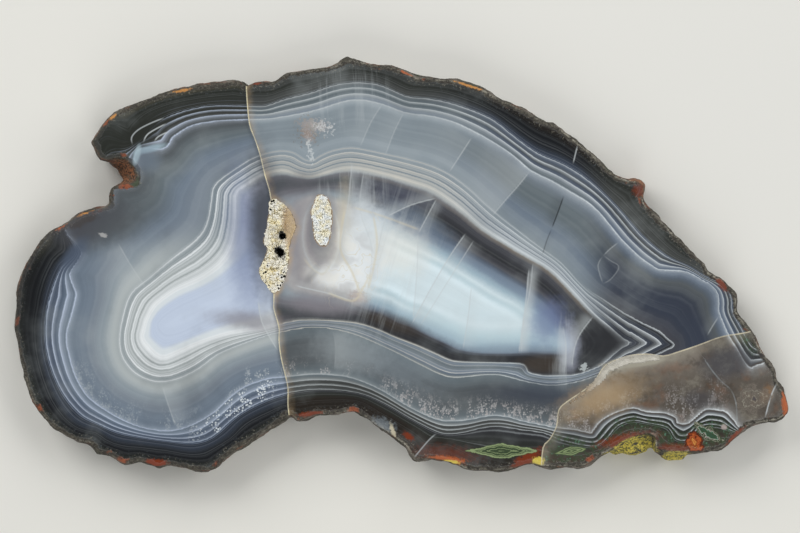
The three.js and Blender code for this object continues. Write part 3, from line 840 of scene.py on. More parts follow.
LOW_LINES = (
    (4.0, 0.0), (4.05, 1.0), (4.08, 0.1), (4.15, 0.0), (4.24, 0.0), (4.28, 1.0), (4.31, 0.15),
    (4.4, 0.05), (4.44, 0.35), (4.48, 0.05), (4.68, 0.0), (4.72, 0.45), (4.76, 0.05), (4.9, 0.05),
    (4.95, 1.0), (4.99, 0.35), (5.04, 0.1), (5.09, 0.0),
)
POINT_LINES = (
    (3.97, 0.0), (3.985, 0.8), (4.0, 0.3), (4.03, 0.0), (4.24, 0.0), (4.262, 1.0), (4.285, 0.5),
    (4.34, 0.22), (4.44, 0.0), (4.55, 0.0), (4.572, 1.0), (4.595, 0.5), (4.66, 0.22), (4.76, 0.0),
    (4.91, 0.0), (4.935, 1.0), (4.96, 0.55), (5.02, 0.25), (5.12, 0.0),
)

# The patches of the polished face, the lowest one first.
PATCHES = (
    # The dark shoulder at the left, and the fan of lines in the horn
    Patch(Tint.SMOKE, (93, 226), (37, 17), 0.3, 0.9, 0.6, 0.7),
    Patch(Tint.LEAD, (124, 222), (34, 15), 0.45, 0.6, 0.6, 0.9),
    Patch(Tint.UMBER, (84, 221), (17, 4), 0.4, 0.5, 2.4, 0.5),
    Patch(Tint.LODEN, (109, 143), (16, 21), 0.0, 0.85, 0.5, 0.5),
    Patch(Tint.LODEN, (143, 131), (27, 12), 0.55, 0.95, 0.4, 0.5),
    Patch(Tint.SLATE, (74, 256), (19, 8), 0.95, 0.9, 0.4, 0.6),
    Patch(Tint.SOOT, (28, 290), (15, 66), 0.0, 0.65, 0.4, 0.6),
    Patch(Tint.AQUA, (150, 149), (15, 3.2), 0.26, 0.8, 0.4, 0.5),
    Patch(Tint.GLACIER, (137, 155), (3, 9), -0.25, 0.8, 0.4, 0.5),
    Patch(Tint.MOSS, (135, 182), (4, 5), 0.0, 0.8, 2.6, 0.4, True),
    Patch(Tint.HAZE, (146, 160), (13, 12), 0.0, 0.6, 0.7, 0.7),
    Patch(Tint.MILK, (103, 235), (4, 2), -0.4, 0.7, 2.6, 0.3, True),
    # The blue and the dark end of the left core, next to the break
    Patch(Tint.INDIGO, (245, 242), (17, 62), 0.08, 0.6, 0.5, 0.7),
    Patch(Tint.SMOKE, (265, 225), (15, 64), 0.06, 0.9, 0.4, 0.7),
    Patch(Tint.MAUVE, (250, 321), (34, 9), -0.1, 0.7, 0.5, 0.7),
    # The milky middle and its veils
    Patch(Tint.MAUVE, (303, 238), (20, 50), 0.0, 0.75, 0.6, 0.6),
    Patch(Tint.SMOKE, (300, 184), (34, 9), 0.0, 0.5, 0.6, 0.7),
    Patch(Tint.CREAM, (344, 222), (7, 34), -0.03, 0.4, 1.2, 0.8),
    Patch(Tint.ICE, (362, 240), (17, 44), -0.1, 0.8, 0.8, 0.6),
    Patch(Tint.SNOW, (360, 266), (16, 26), -0.1, 0.8, 0.8, 0.7),
    Patch(Tint.SNOW, (338, 276), (26, 12), -0.12, 0.8, 0.6, 0.5),
    Patch(Tint.ICE, (378, 244), (18, 32), -0.2, 0.6, 0.8, 0.7),
    Patch(Tint.SMOKE, (313, 273), (4, 12), -0.6, 0.4, 0.8, 0.6),
    Patch(Tint.MAUVE, (324, 304), (34, 10), -0.06, 0.75, 0.4, 0.6),
    Patch(Tint.CLAY, (358, 296), (9, 5), -0.2, 0.4, 2.6, 0.7, True),
    # Shades round the right core
    Patch(Tint.PLUM, (396, 196), (34, 11), -0.25, 0.55, 0.7, 0.7),
    Patch(Tint.DENIM, (420, 222), (34, 9), -0.5, 0.45, 0.7, 0.7),
    Patch(Tint.UMBER, (392, 322), (30, 8), -0.35, 0.6, 0.5, 0.6),
    Patch(Tint.SUGAR, (402, 250), (26, 22), -0.3, 0.5, 0.7, 0.7),
    Patch(Tint.DENIM, (520, 292), (46, 5), -0.62, 0.45, 0.6, 0.6),
    Patch(Tint.DENIM, (505, 349), (44, 5), 0.0, 0.4, 0.5, 0.7),
    Patch(Tint.INDIGO, (548, 322), (17, 20), -0.5, 0.7, 0.6, 0.7),
    Patch(Tint.UMBER, (545, 364), (26, 8), 0.0, 0.7, 0.6, 0.5),
    Patch(Tint.LILAC, (569, 348), (9, 22), 0.0, 0.5, 0.9, 0.7),
    Patch(Tint.COAL, (608, 342), (20, 13), 0.0, 0.8, 0.4, 0.6),
    # The pale left and the dark right of the lower band
    Patch(Tint.DOVE, (350, 351), (32, 17), -0.25, 0.55, 0.9, 0.9),
    Patch(Tint.SAGE, (396, 368), (40, 17), -0.45, 0.45, 1.0, 0.9),
    Patch(Tint.SHALE, (543, 394), (50, 11), -0.03, 0.7, 0.5, 0.8),
    # Pink inclusion in the upper band
    Patch(Tint.BLUSH, (315, 126), (11, 5), -0.15, 0.95, 5.0, 0.7, True),
    Patch(Tint.BLUSH, (308, 133), (5, 8), 0.3, 0.9, 5.0, 0.7, True),
    Patch(Tint.CHALK, (317, 127), (8, 4), -0.2, 0.8, 14.0, 0.2, True),
    Patch(Tint.DUN, (309, 131), (6, 7), 0.3, 0.6, 14.0, 0.3, True),
    Patch(Tint.CHALK, (310, 150), (1.6, 8), 0.15, 0.8, 12.0, 0.2, True),
    # The flake
    Patch(Tint.SAND, (606, 396), (36, 15), 0.35, 0.6, 1.0, 0.8),
    Patch(Tint.UMBER, (660, 378), (44, 10), 0.15, 0.35, 1.4, 0.7),
    Patch(Tint.SMOKE, (728, 362), (27, 15), 0.2, 0.7, 0.6, 0.5),
    Patch(Tint.SMOKE, (700, 400), (16, 9), 0.0, 0.5, 1.0, 0.6),
    Patch(Tint.LINEN, (634, 362), (32, 5), 0.1, 0.8, 0.4, 0.2),
    Patch(Tint.AMBER, (766, 395), (6, 9), -0.3, 0.25, 1.6, 0.6),
    # Clay and rust along the rim
    Patch(Tint.AMBER, (112, 116), (5, 3), 0.7, 0.9, 2.0, 0.3, True),
    Patch(Tint.IRON, (105, 122), (5, 2.4), 0.9, 0.6, 2.6, 0.4, True),
    Patch(Tint.AMBER, (181, 90), (9, 2.2), 0.15, 0.8, 2.2, 0.3, True),
    Patch(Tint.RUST, (254, 82), (10, 2.6), 0.1, 0.85, 2.6, 0.3, True),
    Patch(Tint.IRON, (408, 72), (9, 2.6), -0.4, 0.9, 2.2, 0.3, True),
    Patch(Tint.AMBER, (467, 84), (14, 2.6), -0.35, 0.9, 2.4, 0.3, True),
    Patch(Tint.AMBER, (88, 209.5), (14, 3), 0.42, 1.0, 2.2, 0.3, True),
    Patch(Tint.IRON, (63, 224), (8, 2.8), 0.75, 0.9, 2.2, 0.3, True),
    Patch(Tint.RUST, (640, 190), (7, 6), 0.4, 0.6, 2.0, 0.4, True),
    Patch(Tint.RUST, (674, 224), (3, 9), 0.5, 0.8, 2.2, 0.4, True),
    Patch(Tint.RUST, (722, 285), (3, 8), 0.6, 0.8, 2.2, 0.4, True),
    Patch(Tint.RUST, (155, 463), (12, 4), 0.0, 0.95, 1.6, 0.3, True),
    Patch(Tint.RUST, (310, 414), (12, 2.4), 0.1, 0.9, 2.2, 0.4, True),
    Patch(Tint.RUST, (408, 436), (6, 3), -0.7, 0.9, 2.2, 0.4, True),
    Patch(Tint.RUST, (446, 454), (26, 7), -0.1, 0.4, 2.4, 0.8, True),
    Patch(Tint.IRON, (447, 460), (17, 3.6), -0.1, 0.9, 2.4, 0.4, True),
    Patch(Tint.SULPHUR, (450, 462), (9, 1.8), -0.1, 0.9, 2.4, 0.4, True),
    Patch(Tint.RUST, (527, 459), (16, 6), 0.55, 0.9, 2.0, 0.4, True),
    Patch(Tint.IRON, (786, 402), (4, 17), 0.05, 0.9, 1.6, 0.3, True),
    Patch(Tint.RUST, (737, 438), (13, 5), 0.75, 0.9, 1.8, 0.3, True),
    Patch(Tint.RUST, (628, 440), (27, 6), 0.15, 0.8, 1.8, 0.5, True),
    Patch(Tint.RUST, (675, 448), (17, 4), 0.0, 0.6, 1.8, 0.5, True),
    Patch(Tint.SULPHUR, (538, 461), (6, 4), 0.0, 0.9, 2.4, 0.3, True),
    Patch(Tint.BLUSH, (724, 427), (3, 3), 0.0, 0.8, 1.4, 0.3),
    # White flecks
    Patch(Tint.PEARL, (584, 367.5), (4.4, 3.2), 0.9, 0.9, 3.0, 0.15, True),
    Patch(Tint.MIST, (383, 425), (11, 6), -0.4, 0.45, 2.6, 0.6, True),
    Patch(Tint.CREAM, (393, 432), (2, 9), 0.3, 0.7, 2.6, 0.4, True),
)

# The pockets that have rings of their own.
ROSETTES = (
    # The halo of the small hollow
    Rosette((321, 236), (21, 41), 0.03, 0.15, stops(
        "0.0 ASH, 0.5 ASH, 0.66 MAUVE, 0.8 MILK, 0.87 CHALK, 0.95 MILK, 1.0 MILK"
    ), strength=0.5, soft=0.3),
    # The green lenses of the lower rim
    Rosette((502, 451), (37, 7.6), 0.0, 0.6, stops(
        "0.0 LIME, 0.1 MOSS, 0.34 MOSS, 0.4 LIME, 0.46 MOSS, 0.6 MOSS, 0.68 LIME, 0.75 MOSS, "
        "0.84 LIME, 0.94 LIME, 1.0 MOSS"
    ), pointed=0.7),
    Rosette((571, 451), (17, 5), 0.15, 0.6, stops(
        "0.0 LIME, 0.25 MOSS, 0.45 LIME, 0.62 MOSS, 0.78 LIME, 0.95 MOSS"
    ), pointed=0.7),
    # The red and the green pocket near the right tip
    Rosette((694.5, 441.5), (8.5, 11), 0.4, 2.2, stops(
        "0.0 IRON, 0.25 AMBER, 0.4 RUST, 0.6 IRON, 0.75 RUST, 0.9 BARK, 1.0 RUST"
    )),
    Rosette((709, 434), (18, 7), -0.6, 1.8, stops(
        "0.0 GREEN, 0.4 MOSS, 0.5 FERN, 0.6 BLUSH, 0.67 MOSS, 0.78 MOSS, 0.84 LINEN, 0.91 MOSS, "
        "1.0 MOSS"
    ), pointed=0.4),
    # The small eye at the right tip
    Rosette((754, 399), (19, 16), 0.2, 1.4, stops(
        "0.0 SMOKE, 0.1 TAUPE, 0.17 LINEN, 0.24 TAUPE, 0.31 DUN, 0.36 TAUPE, 0.46 DUN, 0.52 TAUPE, "
        "0.6 LINEN, 0.65 TAUPE, 0.75 DUN, 0.82 TAUPE, 0.9 DUN, 1.0 TAUPE"
    ), strength=0.75, pointed=0.4),
)

# Host rock on the rind: its light tint, its dark tint, which is partly the rock's own dark grains and partly
# painted shade between them, and its centre and half size in drawn pixels.
ROCK_SPOTS = (
    (Tint.SULPHUR, Tint.MOSS, (631, 448), (27, 13)),
    (Tint.SULPHUR, Tint.MOSS, (678, 458), (14, 8)),
    (Tint.CLAY, Tint.BARK, (121, 172), (15, 13)),
    (Tint.CLAY, Tint.UMBER, (637, 187), (11, 11)),
)

# Where the milky folds lie: centre and half size in drawn pixels, and turn.
FOLDS = ((346, 262), (34, 38), 0.12)

# Where fine streaks hang like curtains: the same, and how much they show. Their noise is drawn out
# along y.
CURTAIN_STRETCH = (1.0, 0.07, 1.0)
CURTAINS = (
    ((346, 96), (40, 30), 0.05, 0.18),
    ((352, 190), (34, 26), 0.05, 0.28),
    ((385, 262), (44, 74), -0.3, 0.18),
    ((565, 350), (16, 34), 0.0, 0.22),
)

# How far from its line a crack's strength is kept, how it fades at its ends, in millimetres and as a
# share of its length, and where its veil starts beside the line.
CRACK_REACH = 1.1
CRACK_FADE = 1.0
CRACK_FADE_SHARE = 0.25
VEIL_START = (-0.12, 0.08)

# The healed cracks, in layers, because cracks of one layer may not meet.
CRACK_LAYERS: tuple[tuple[Crack, ...], ...] = (
    (
        Crack(((449, 172.5), (461, 154), (472, 137)), 0.4, 0.14, 60),
        Crack(((492, 216), (509, 196), (518, 186), (530, 171)), 0.35, 0.3, 75),
        Crack(((352, 163), (350, 185), (348, 205), (343, 235), (338, 262)), 0.4, 0.25, 16),
        Crack(((466, 233), (450, 256), (430, 290), (411.6, 324.5)), 0.5, 0.25),
        Crack(((529, 268), (526, 300), (522, 330), (519, 354)), 0.5, 0.4, 12),
        Crack(((564, 376), (566, 350), (563, 325)), 0.3, 0.3, 12),
        Crack(((619, 242), (610, 249), (603, 256)), 0.3, 0.1, 16),
        Crack(((360, 147), (371, 122), (383, 103)), 0.25, 0.14, 30),
        Crack(((146, 288), (130, 264), (118, 243)), 0.25, 0.16, 45),
        Crack(((165, 117.5), (150, 123.5), (138, 130), (131.6, 137.4), (132.6, 145)), 0.6, 0.0),
        Crack(((162, 385), (168, 404), (176, 427)), 0.25, 0.2, 26),
        Crack(((437, 433), (428, 441), (413, 459)), 0.5, 0.05, 8),
        Crack(((777, 383), (771, 396), (765, 418)), 0.7, 0.1, 6),
        Crack(((258, 300), (261.6, 321), (269, 336), (278, 351)), 0.55, 0.3, 18),
        Crack(((707, 336), (712, 327), (719, 316)), 0.35, 0.08, 12),
    ),
    (
        Crack(((386, 217), (411, 205), (437, 198)), 0.5, 0.3, 12),
        Crack(((418, 233), (417, 270), (413, 321)), 0.35, 0.2),
        Crack(((474, 240), (452, 275), (420, 326)), 0.35, 0.12),
        Crack(((533, 262), (530, 290), (524, 320), (521, 354)), 0.35, 0.2, 12),
        Crack(((572, 368), (574, 350), (580, 334), (593.5, 316)), 0.45, 0.35, 14),
        Crack(((603, 256), (598, 266), (603, 284)), 0.22, 0.08, 14),
        Crack(((385, 156), (394, 132), (404, 112)), 0.25, 0.14, 30),
        Crack(((577.6, 145), (573, 164)), 0.6, 0.0),
        Crack(((167.5, 123), (154, 130), (146.5, 135.5), (143, 143)), 0.75, 0.0),
        Crack(((551.5, 229), (558, 212), (564, 195)), -0.7, -0.25, 14),
        Crack(((364, 170), (360, 210), (372, 250), (366, 300)), 0.3, 0.2, 14),
    ),
    (
        Crack(((386, 217), (381, 235), (377, 256)), 0.4, 0.2),
        Crack(((437, 198), (428, 215), (418, 234)), 0.45, 0.22, 12),
        Crack(((471.6, 285), (468, 318), (463, 350)), 0.4, 0.18),
        Crack(((603, 255), (611, 261), (619, 267), (611, 279), (602, 284)), 0.18, 0.05, 10),
        Crack(((552, 228), (547, 240), (542, 256)), -0.4, -0.1, 8),
        Crack(((333, 330), (336, 350), (334, 372)), 0.08, 0.15, 22),
        Crack(((170, 131), (158.5, 136.5), (154, 142)), 0.75, 0.0),
        Crack(((294, 285), (305, 288), (331, 294), (352, 301)), 0.6, 0.15, 10),
    ),
    (
        Crack(((345, 208), (340, 247), (352, 272), (362, 298)), 0.5, 0.2, 8),
        Crack(((373, 214), (377, 247), (368, 290)), 0.45, 0.15, 10),
        Crack(((352, 207), (382, 216), (420, 230)), 0.35, 0.1, 8),
        Crack(((303, 257), (312, 268), (323, 274), (332, 262)), 0.35, 0.1, 8),
        Crack(((326, 292), (352, 301), (362, 290), (372, 270)), 0.45, 0.1, 8),
    ),
)
# The tint and the width in millimetres of each layer's lines.
CRACK_LINES = ((Tint.CHALK, 0.17), (Tint.CHALK, 0.17), (Tint.CHALK, 0.17), (Tint.CREAM, 0.3))


@dataclass(frozen=True)
class Effects:
    """The node groups that the finishes share."""

    patch: bpy.types.NodeTree
    flecks: bpy.types.NodeTree

    @classmethod
    def make(cls) -> Effects:
        """Builds each group once."""
        return cls(patch_group(), fleck_group())

    def oval(self, g: Graph, place: Socket, waver: Socket, centre: Point, half: Point, turn: float = 0.0,
             ragged: float = 0.6, soft: float = 0.4, pointed: float = 0.0) -> bpy.types.bpy_prop_collection:
        """Places a ragged oval.

        Args:
            g: the material's graph.
            place: the coordinates in millimetres.
            waver: the noise that its edge wanders by.
            centre: its middle, in drawn pixels.
            half: its half width and half height, in drawn pixels.
            turn: its turn in radians.
            ragged: how far its edge wanders.
            soft: how wide its edge fades.
            pointed: how much it comes to a point.

        Returns:
            The outputs Mask and Radius.
        """
        return g.node("Group", {
            "Place": place, "Centre": (*to_mm(centre), 0.0),
            "Half": (half[0] * PIXEL_MM, half[1] * PIXEL_MM, 1.0), "Turn": -turn,
            "Ragged": ragged, "Soft": soft, "Waver": waver, "Point": pointed,
        }, node_tree=self.patch).outputs

    def grains(self, g: Graph, place: Socket, scale: float, share: float) -> bpy.types.bpy_prop_collection:
        """Places the fleck group, and gives its outputs Grain and Speck."""
        inputs = {"Place": place, "Scale": scale, "Share": share}
        return g.node("Group", inputs, node_tree=self.flecks).outputs

    def paint(self, g: Graph, colour: Socket, place: Socket, patches: tuple[Patch, ...],
              wavers: tuple[Socket, Socket]) -> Socket:
        """Paints patches over a colour.

        Args:
            g: the material's graph.
            colour: the colour so far.
            place: the coordinates in millimetres.
            patches: the patches, the lowest one first.
            wavers: the broad and the fine noise that their edges wander by.

        Returns:
            The colour with the patches on it.
        """
        for patch in patches:
            mask = self.oval(g, place, wavers[patch.fine], patch.centre, patch.half, patch.turn,
                             patch.ragged, patch.soft)["Mask"]
            colour = g.over(colour, patch.tint, mask, patch.strength)
        return colour


def open_material(name: str) -> tuple[bpy.types.Material, Graph, bpy.types.Node]:
    """Starts a node material.

    Args:
        name: the material's name.

    Returns:
        The material, its graph and its Principled BSDF.
    """
    made = bpy.data.materials.new(name)
    made.use_nodes = True
    return made, Graph(made.node_tree), made.node_tree.nodes["Principled BSDF"]


class AgateFace:
    """The marking of the agate, which its methods lay on the colour so far, one after the other."""

    def __init__(self, g: Graph, effects: Effects) -> None:
        """Reads the slice's attributes and works out which part of the face a place is in.

        Args:
            g: the material's graph.
            effects: the shared node groups.
        """
        self.g, self.effects = g, effects
        self.place = g.place()
        self.x, self.y, self.z = g.axes(self.place)
        self.waver = g.noise(self.place, 0.22, 4.0)
        jitter = g.noise(self.place, 2.6, 2.0)
        shift = g.times(g.math("SUBTRACT", self.waver, 0.5), BROAD_WANDER)
        shift = g.math("ADD", shift, g.times(g.math("SUBTRACT", jitter, 0.5), FINE_WANDER))
        self.growth = g.math("ADD", g.attribute("growth"), shift)
        self.rim, self.fissure, self.flake = map(g.attribute, ("rim", "fissure", "flake"))
        self.hollow, self.pocket, self.seam = map(g.attribute, ("hollow", "pocket", "seam"))

        self.past = g.step(self.fissure, *PAST_BREAK)
        north = g.step(self.y, *NORTH)
        within = g.step(self.growth, *IN_CORE)
        self.east = g.math("MAXIMUM", g.step(self.x, *EAST), g.times(g.step(self.x, *CORE_EAST), within))
        self.low = g.times(g.step(self.y, *LOW), self.past)
        self.end = g.step(self.x, *END)
        self.broken = g.times(g.step(self.flake, *ON_FLAKE), g.step(self.x, *FLAKE_EAST))
        self.bottom = g.step(self.y, *BOTTOM)

        colour = g.mix(north, self.along(LEFT_COLOURS), self.along(HORN_COLOURS))
        colour = g.mix(self.past, colour, self.along(TOP_COLOURS))
        colour = g.mix(g.times(self.east, self.past), colour, self.along(RIGHT_COLOURS))
        colour = g.mix(self.low, colour, self.along(LOW_COLOURS))
        colour = g.mix(self.end, colour, self.along(END_COLOURS))
        self.colour = g.mix(self.broken, colour, self.along(FLAKE_COLOURS))

    def along(self, colours: Stops) -> Socket:
        """Looks a colour up along the growth value."""
        return self.g.ramp(self.growth, colours, 0.0, LAST_GROWTH)

    def over(self, tint: Socket | Tint, *masks: Value) -> None:
        """Lays a tint over the colour so far, as strongly as the product of the masks."""
        self.colour = self.g.over(self.colour, tint, *masks)

    def fine_banding(self) -> None:
        """Lays faint stripes along the bands, finer in the inner set than in the wide bands."""
        g, growth = self.g, self.growth
        broad, tight = g.stripes(growth, 9.0, 4.0), g.stripes(growth, 34.0, 2.0)
        fine = g.between(growth, (3.95, 4.1), (5.08, 5.0))
        outer = g.between(growth, (0.3, 0.8), (3.0, 2.7))
        amount = g.math("ADD", g.blend(outer, 0.045, 0.065), g.times(fine, 0.2))
        amount = g.times(amount, g.step(self.broken, 1.0, 0.0, 0.3, 1.0))
        amount = g.times(amount, g.step(self.low, 1.0, 0.0, 0.45, 1.0))
        stripe = g.blend(fine, broad, tight)
        self.over(Tint.CHALK, g.step(stripe, 0.42, 0.7), amount)
        self.over(Tint.INK, g.step(stripe, 0.6, 0.32), amount)

    def lines(self) -> None:
        """Draws the bright lines, each part of the face with its own strength and tint."""
        g, growth, past, east = self.g, self.growth, self.past, self.east
        outer = g.ramp(growth, OUTER_LINES, *OUTER_REACH)
        inner = g.ramp(growth, INNER_LINES, *INNER_REACH)
        inner = g.mix(self.low, inner, g.ramp(growth, LOW_LINES, *INNER_REACH))
        inner = g.mix(self.end, inner, g.ramp(growth, POINT_LINES, *INNER_REACH))
        patchy = g.scale(g.noise(self.place, 0.12, 3.0), 0.3, 0.7, 0.65, 1.05)
        outer_strength = g.blend(past, 1.0, 0.95)
        outer_strength = g.blend(self.low, outer_strength, 0.85)
        outer_strength = g.blend(self.broken, outer_strength, g.blend(self.end, 0.5, 1.0))
        inner_strength = g.blend(past, 1.0, g.blend(east, 0.88, 0.75))
        inner_strength = g.blend(self.low, inner_strength, 0.9)
        inner_strength = g.blend(self.end, inner_strength, 1.0)
        hidden = g.times(self.broken, g.step(growth, 3.0, 3.3))
        outer_tint = g.mix(past, Tint.SKY, g.mix(east, Tint.CHALK, Tint.ICE))
        inner_tint = g.mix(past, Tint.SNOW, g.mix(east, Tint.IVORY, Tint.ICE))
        outer = g.times(outer, outer_strength, patchy)
        inner = g.times(inner, inner_strength, patchy)
        inner = g.times(inner, g.math("SUBTRACT", 1.0, hidden))
        self.over(outer_tint, outer)
        self.over(inner_tint, inner)

    def clouds(self) -> None:
        """Adds soft cloudiness all over."""
        cloud = self.g.noise(self.place, 0.09, 4.0, 0.6)
        self.over(Tint.PEARL, self.g.step(cloud, 0.5, 0.8, 0.0, 0.22))
        self.over(Tint.INK, self.g.step(cloud, 0.5, 0.2, 0.0, 0.28))

    def plumes(self) -> None:
        """Draws the plumes of pale specks in the lower bands, and the beads on the left's outer lines."""
        g, place, growth, x = self.g, self.place, self.growth, self.x
        upright = g.vector("MULTIPLY", place, (1.0, 0.45, 1.0))
        plume = g.noise(upright, 1.5, 4.0, 0.7)
        bunch = g.noise(upright, 0.55, 2.0)
        grain = self.effects.grains(g, place, 3.0, 0.9)["Speck"]
        region = g.step(g.noise(place, 0.1, 2.0), 0.36, 0.46)
        band = g.between(growth, (3.0, 3.04), (3.62, 3.12))
        band = g.times(band, self.bottom, region)
        band = g.times(band, g.scale(x, -33.0, -27.0, 0.35, 1.0))
        band = g.times(band, g.step(x, 50.0, 46.0))
        speck = g.times(grain, g.step(plume, 0.4, 0.48))
        speck = g.math("MAXIMUM", speck, g.step(plume, 0.5, 0.62, 0.0, 0.75))
        speck = g.times(speck, g.step(bunch, 0.4, 0.5))
        mask = g.times(g.times(speck, band), g.blend(self.broken, 0.8, 0.5))
        pinkish = g.mix(g.noise(place, 0.5), Tint.CHALK, Tint.BLUSH)
        self.over(g.mix(self.past, Tint.CHALK, pinkish), mask)
        beaded = g.between(growth, (1.95, 2.15), (3.0, 2.92))
        beaded = g.times(beaded, g.between(x, (-33.0, -28.0), (-18.0, -20.5)))
        beads = g.times(grain, g.step(g.noise(place, 0.7, 3.0), 0.4, 0.55))
        self.over(Tint.ICE, beaded, self.bottom, beads, 0.9)

    def flake_growths(self) -> None:
        """Grows moss in the outer bands of the flake, and mottles its brown inner part."""
        g, place, growth, broken = self.g, self.place, self.growth, self.broken
        moss = g.noise(place, 1.3, 5.0, 0.7)
        below = g.times(broken, g.step(growth, 2.75, 2.2))
        self.over(Tint.MOSS, below, g.step(moss, 0.4, 0.6), 0.75)
        fern = g.times(below, self.effects.grains(g, place, 2.3, 0.45)["Speck"])
        self.over(Tint.FERN, fern, g.step(moss, 0.5, 0.6), 0.6)
        above = g.times(broken, g.step(growth, 2.95, 3.15))
        mottle = g.noise(place, 0.38, 6.0, 0.68)
        self.over(Tint.LINEN, above, g.step(mottle, 0.5, 0.72), 0.38)
        self.over(Tint.UMBER, above, g.step(mottle, 0.5, 0.3), 0.6)
        self.over(Tint.CLAY, above, g.step(g.noise(place, 0.3, 4.0), 0.52, 0.68), 0.22)

    def rim_zone(self) -> Socket:
        """Weathers the face along its rim.

        Returns:
            The mask of the rim's grain.
        """
        g, place, rim = self.g, self.place, self.rim
        worn = g.step(self.x, *WORN_EDGE)
        ragged = g.times(g.noise(place, 0.6, 6.0, 0.75), RIM_GRAIN)
        mask = g.step(g.math("SUBTRACT", rim, ragged), 0.0, -0.3)
        grit = g.noise(place, 2.6, 5.0, 0.75)
        broad = g.noise(place, 0.35, 3.0)
        grain = g.mix(g.step(grit, 0.4, 0.65), Tint.BARK, Tint.OLIVE)
        grain = g.over(grain, Tint.DUN, g.step(grit, 0.52, 0.7), 0.45)
        edge = g.times(g.step(rim, 0.45, 0.1), g.step(grit, 0.42, 0.56))
        edge = g.times(edge, g.step(broad, 0.42, 0.6, 0.25, 1.0))
        grain = g.over(grain, Tint.LINEN, edge, g.blend(worn, 0.3, 0.9))
        rust = g.times(g.step(g.noise(place, 0.3, 4.0), 0.6, 0.68), g.step(grit, 0.35, 0.5))
        rust = g.times(rust, 0.75)
        grain = g.over(grain, g.mix(grit, Tint.RUST, Tint.IRON), rust)
        specks = g.times(g.step(rim, 1.5, 0.6), g.step(g.noise(place, 3.4, 3.0, 0.7), 0.58, 0.66))
        self.over(Tint.LINEN, specks, 0.5)
        wisp = g.times(g.step(rim, 2.4, 0.5), g.step(grit, 0.55, 0.7))
        self.over(Tint.SAGE, wisp, 0.28)
        self.over(grain, mask)
        return mask

    def patches(self) -> None:
        """Paints the placed patches."""
        g, place = self.g, self.place
        wavers = g.noise(place, 0.9, 4.0), g.noise(place, 2.3, 4.0, 0.7)
        self.colour = self.effects.paint(g, self.colour, place, PATCHES, wavers)

    def folds(self) -> None:
        """Lays milky folds in the middle of the slice, below the small hollow."""
        g = self.g
        area = self.effects.oval(g, self.place, self.waver, *FOLDS)["Mask"]
        hung = g.noise(self.place, 0.3, 2.0, 0.5)
        self.over(Tint.SUGAR, area, g.step(hung, 0.5, 0.62), 0.5)
        self.over(Tint.MILK, area, g.step(hung, 0.48, 0.36), 0.4)
        ridge = g.step(g.math("ABSOLUTE", g.math("SUBTRACT", hung, 0.49)), 0.012, 0.0)
        self.over(Tint.CREAM, ridge, area, 0.5)

    def curtains(self) -> None:
        """Hangs fine pale streaks across the bands."""
        g = self.g
        for centre, half, turn, shown in CURTAINS:
            area = self.effects.oval(g, self.place, self.waver, centre, half, turn)["Mask"]
            drawn_out = g.vector("MULTIPLY", g.turned(self.place, -turn), CURTAIN_STRETCH)
            hung = g.noise(drawn_out, 1.1, 4.0, 0.65)
            self.over(Tint.CHALK, area, g.step(hung, 0.48, 0.66), shown)

    def cracks(self) -> None:
        """Draws the healed cracks and their veils, the bright and the dark ones."""
        g = self.g
        veil = g.attribute("veil")
        self.over(Tint.CHALK, g.math("MAXIMUM", veil, 0.0))
        self.over(Tint.COAL, g.math("MAXIMUM", g.times(veil, -1.0), 0.0))
        for layer, (tint, width) in enumerate(CRACK_LINES):
            beside = g.math("ABSOLUTE", g.attribute(f"crack_{layer}"))
            strength = g.attribute(f"crack_{layer}_strength")
            line = g.step(beside, width, 0.02)
            light = g.times(line, g.math("MAXIMUM", strength, 0.0))
            dark = g.times(line, g.math("MAXIMUM", g.times(strength, -1.0), 0.0))
            self.over(tint, light)
            self.over(Tint.SOOT, dark)

    def rosettes(self) -> None:
        """Paints the small pockets that have rings of their own."""
        g = self.g
        waver = g.noise(self.place, 0.9, 4.0, 0.65)
        for rosette in ROSETTES:
            made = self.effects.oval(g, self.place, waver, rosette.centre, rosette.half, rosette.turn,
                                     rosette.ragged, rosette.soft, rosette.pointed)
            mask = g.times(made["Mask"], rosette.strength)
            self.over(g.ramp(made["Radius"], rosette.rings), mask)

    def fissures(self) -> Socket:
        """Draws the healed break, the flake's lip and seam, and the halos of the hollows.

        Returns:
            A mask of the fine grooves.
        """
        g, fissure, pocket = self.g, self.fissure, self.pocket
        vary = g.scale(g.noise(self.place, 0.6, 5.0), 0.35, 0.65, 0.2, 1.0)
        self.over(Tint.SAND, g.between(fissure, (1.3, 0.0), (-0.05, 0.05)), vary, 0.35)
        self.over(Tint.INK, g.between(fissure, (-0.8, -0.05), (0.05, -0.08)), 0.35)
        line = g.times(g.step(g.math("ABSOLUTE", fissure), 0.13, 0.03), g.scale(vary, 0.0, 1.0, 0.45, 1.0))
        mask = g.times(line, 0.9)
        self.over(g.mix(vary, Tint.CREAM, Tint.STRAW), mask)
        lip = g.step(g.math("ABSOLUTE", self.flake), 0.14, 0.03)
        inside = g.times(g.step(self.flake, -2.0, -0.1), self.broken)
        self.over(Tint.LINEN, inside, vary, 0.45)
        self.over(Tint.CREAM, lip, g.scale(vary, 0.2, 1.0, 0.45, 0.9))
        joint = g.times(g.step(g.math("ABSOLUTE", self.seam), 0.16, 0.04), self.broken)
        self.over(Tint.DOVE, joint, vary, 0.5)
        glow = g.times(g.step(self.hollow, -1.1, -0.1), g.step(fissure, -0.3, 0.5))
        self.over(Tint.SAND, glow, vary, 0.55)
        self.over(Tint.ASH, g.step(pocket, -1.3, -0.2), 0.4)
        self.over(Tint.CLAY, g.step(pocket, -0.25, -0.02), 0.45)
        return g.math("MAXIMUM", line, g.times(lip, 0.5))

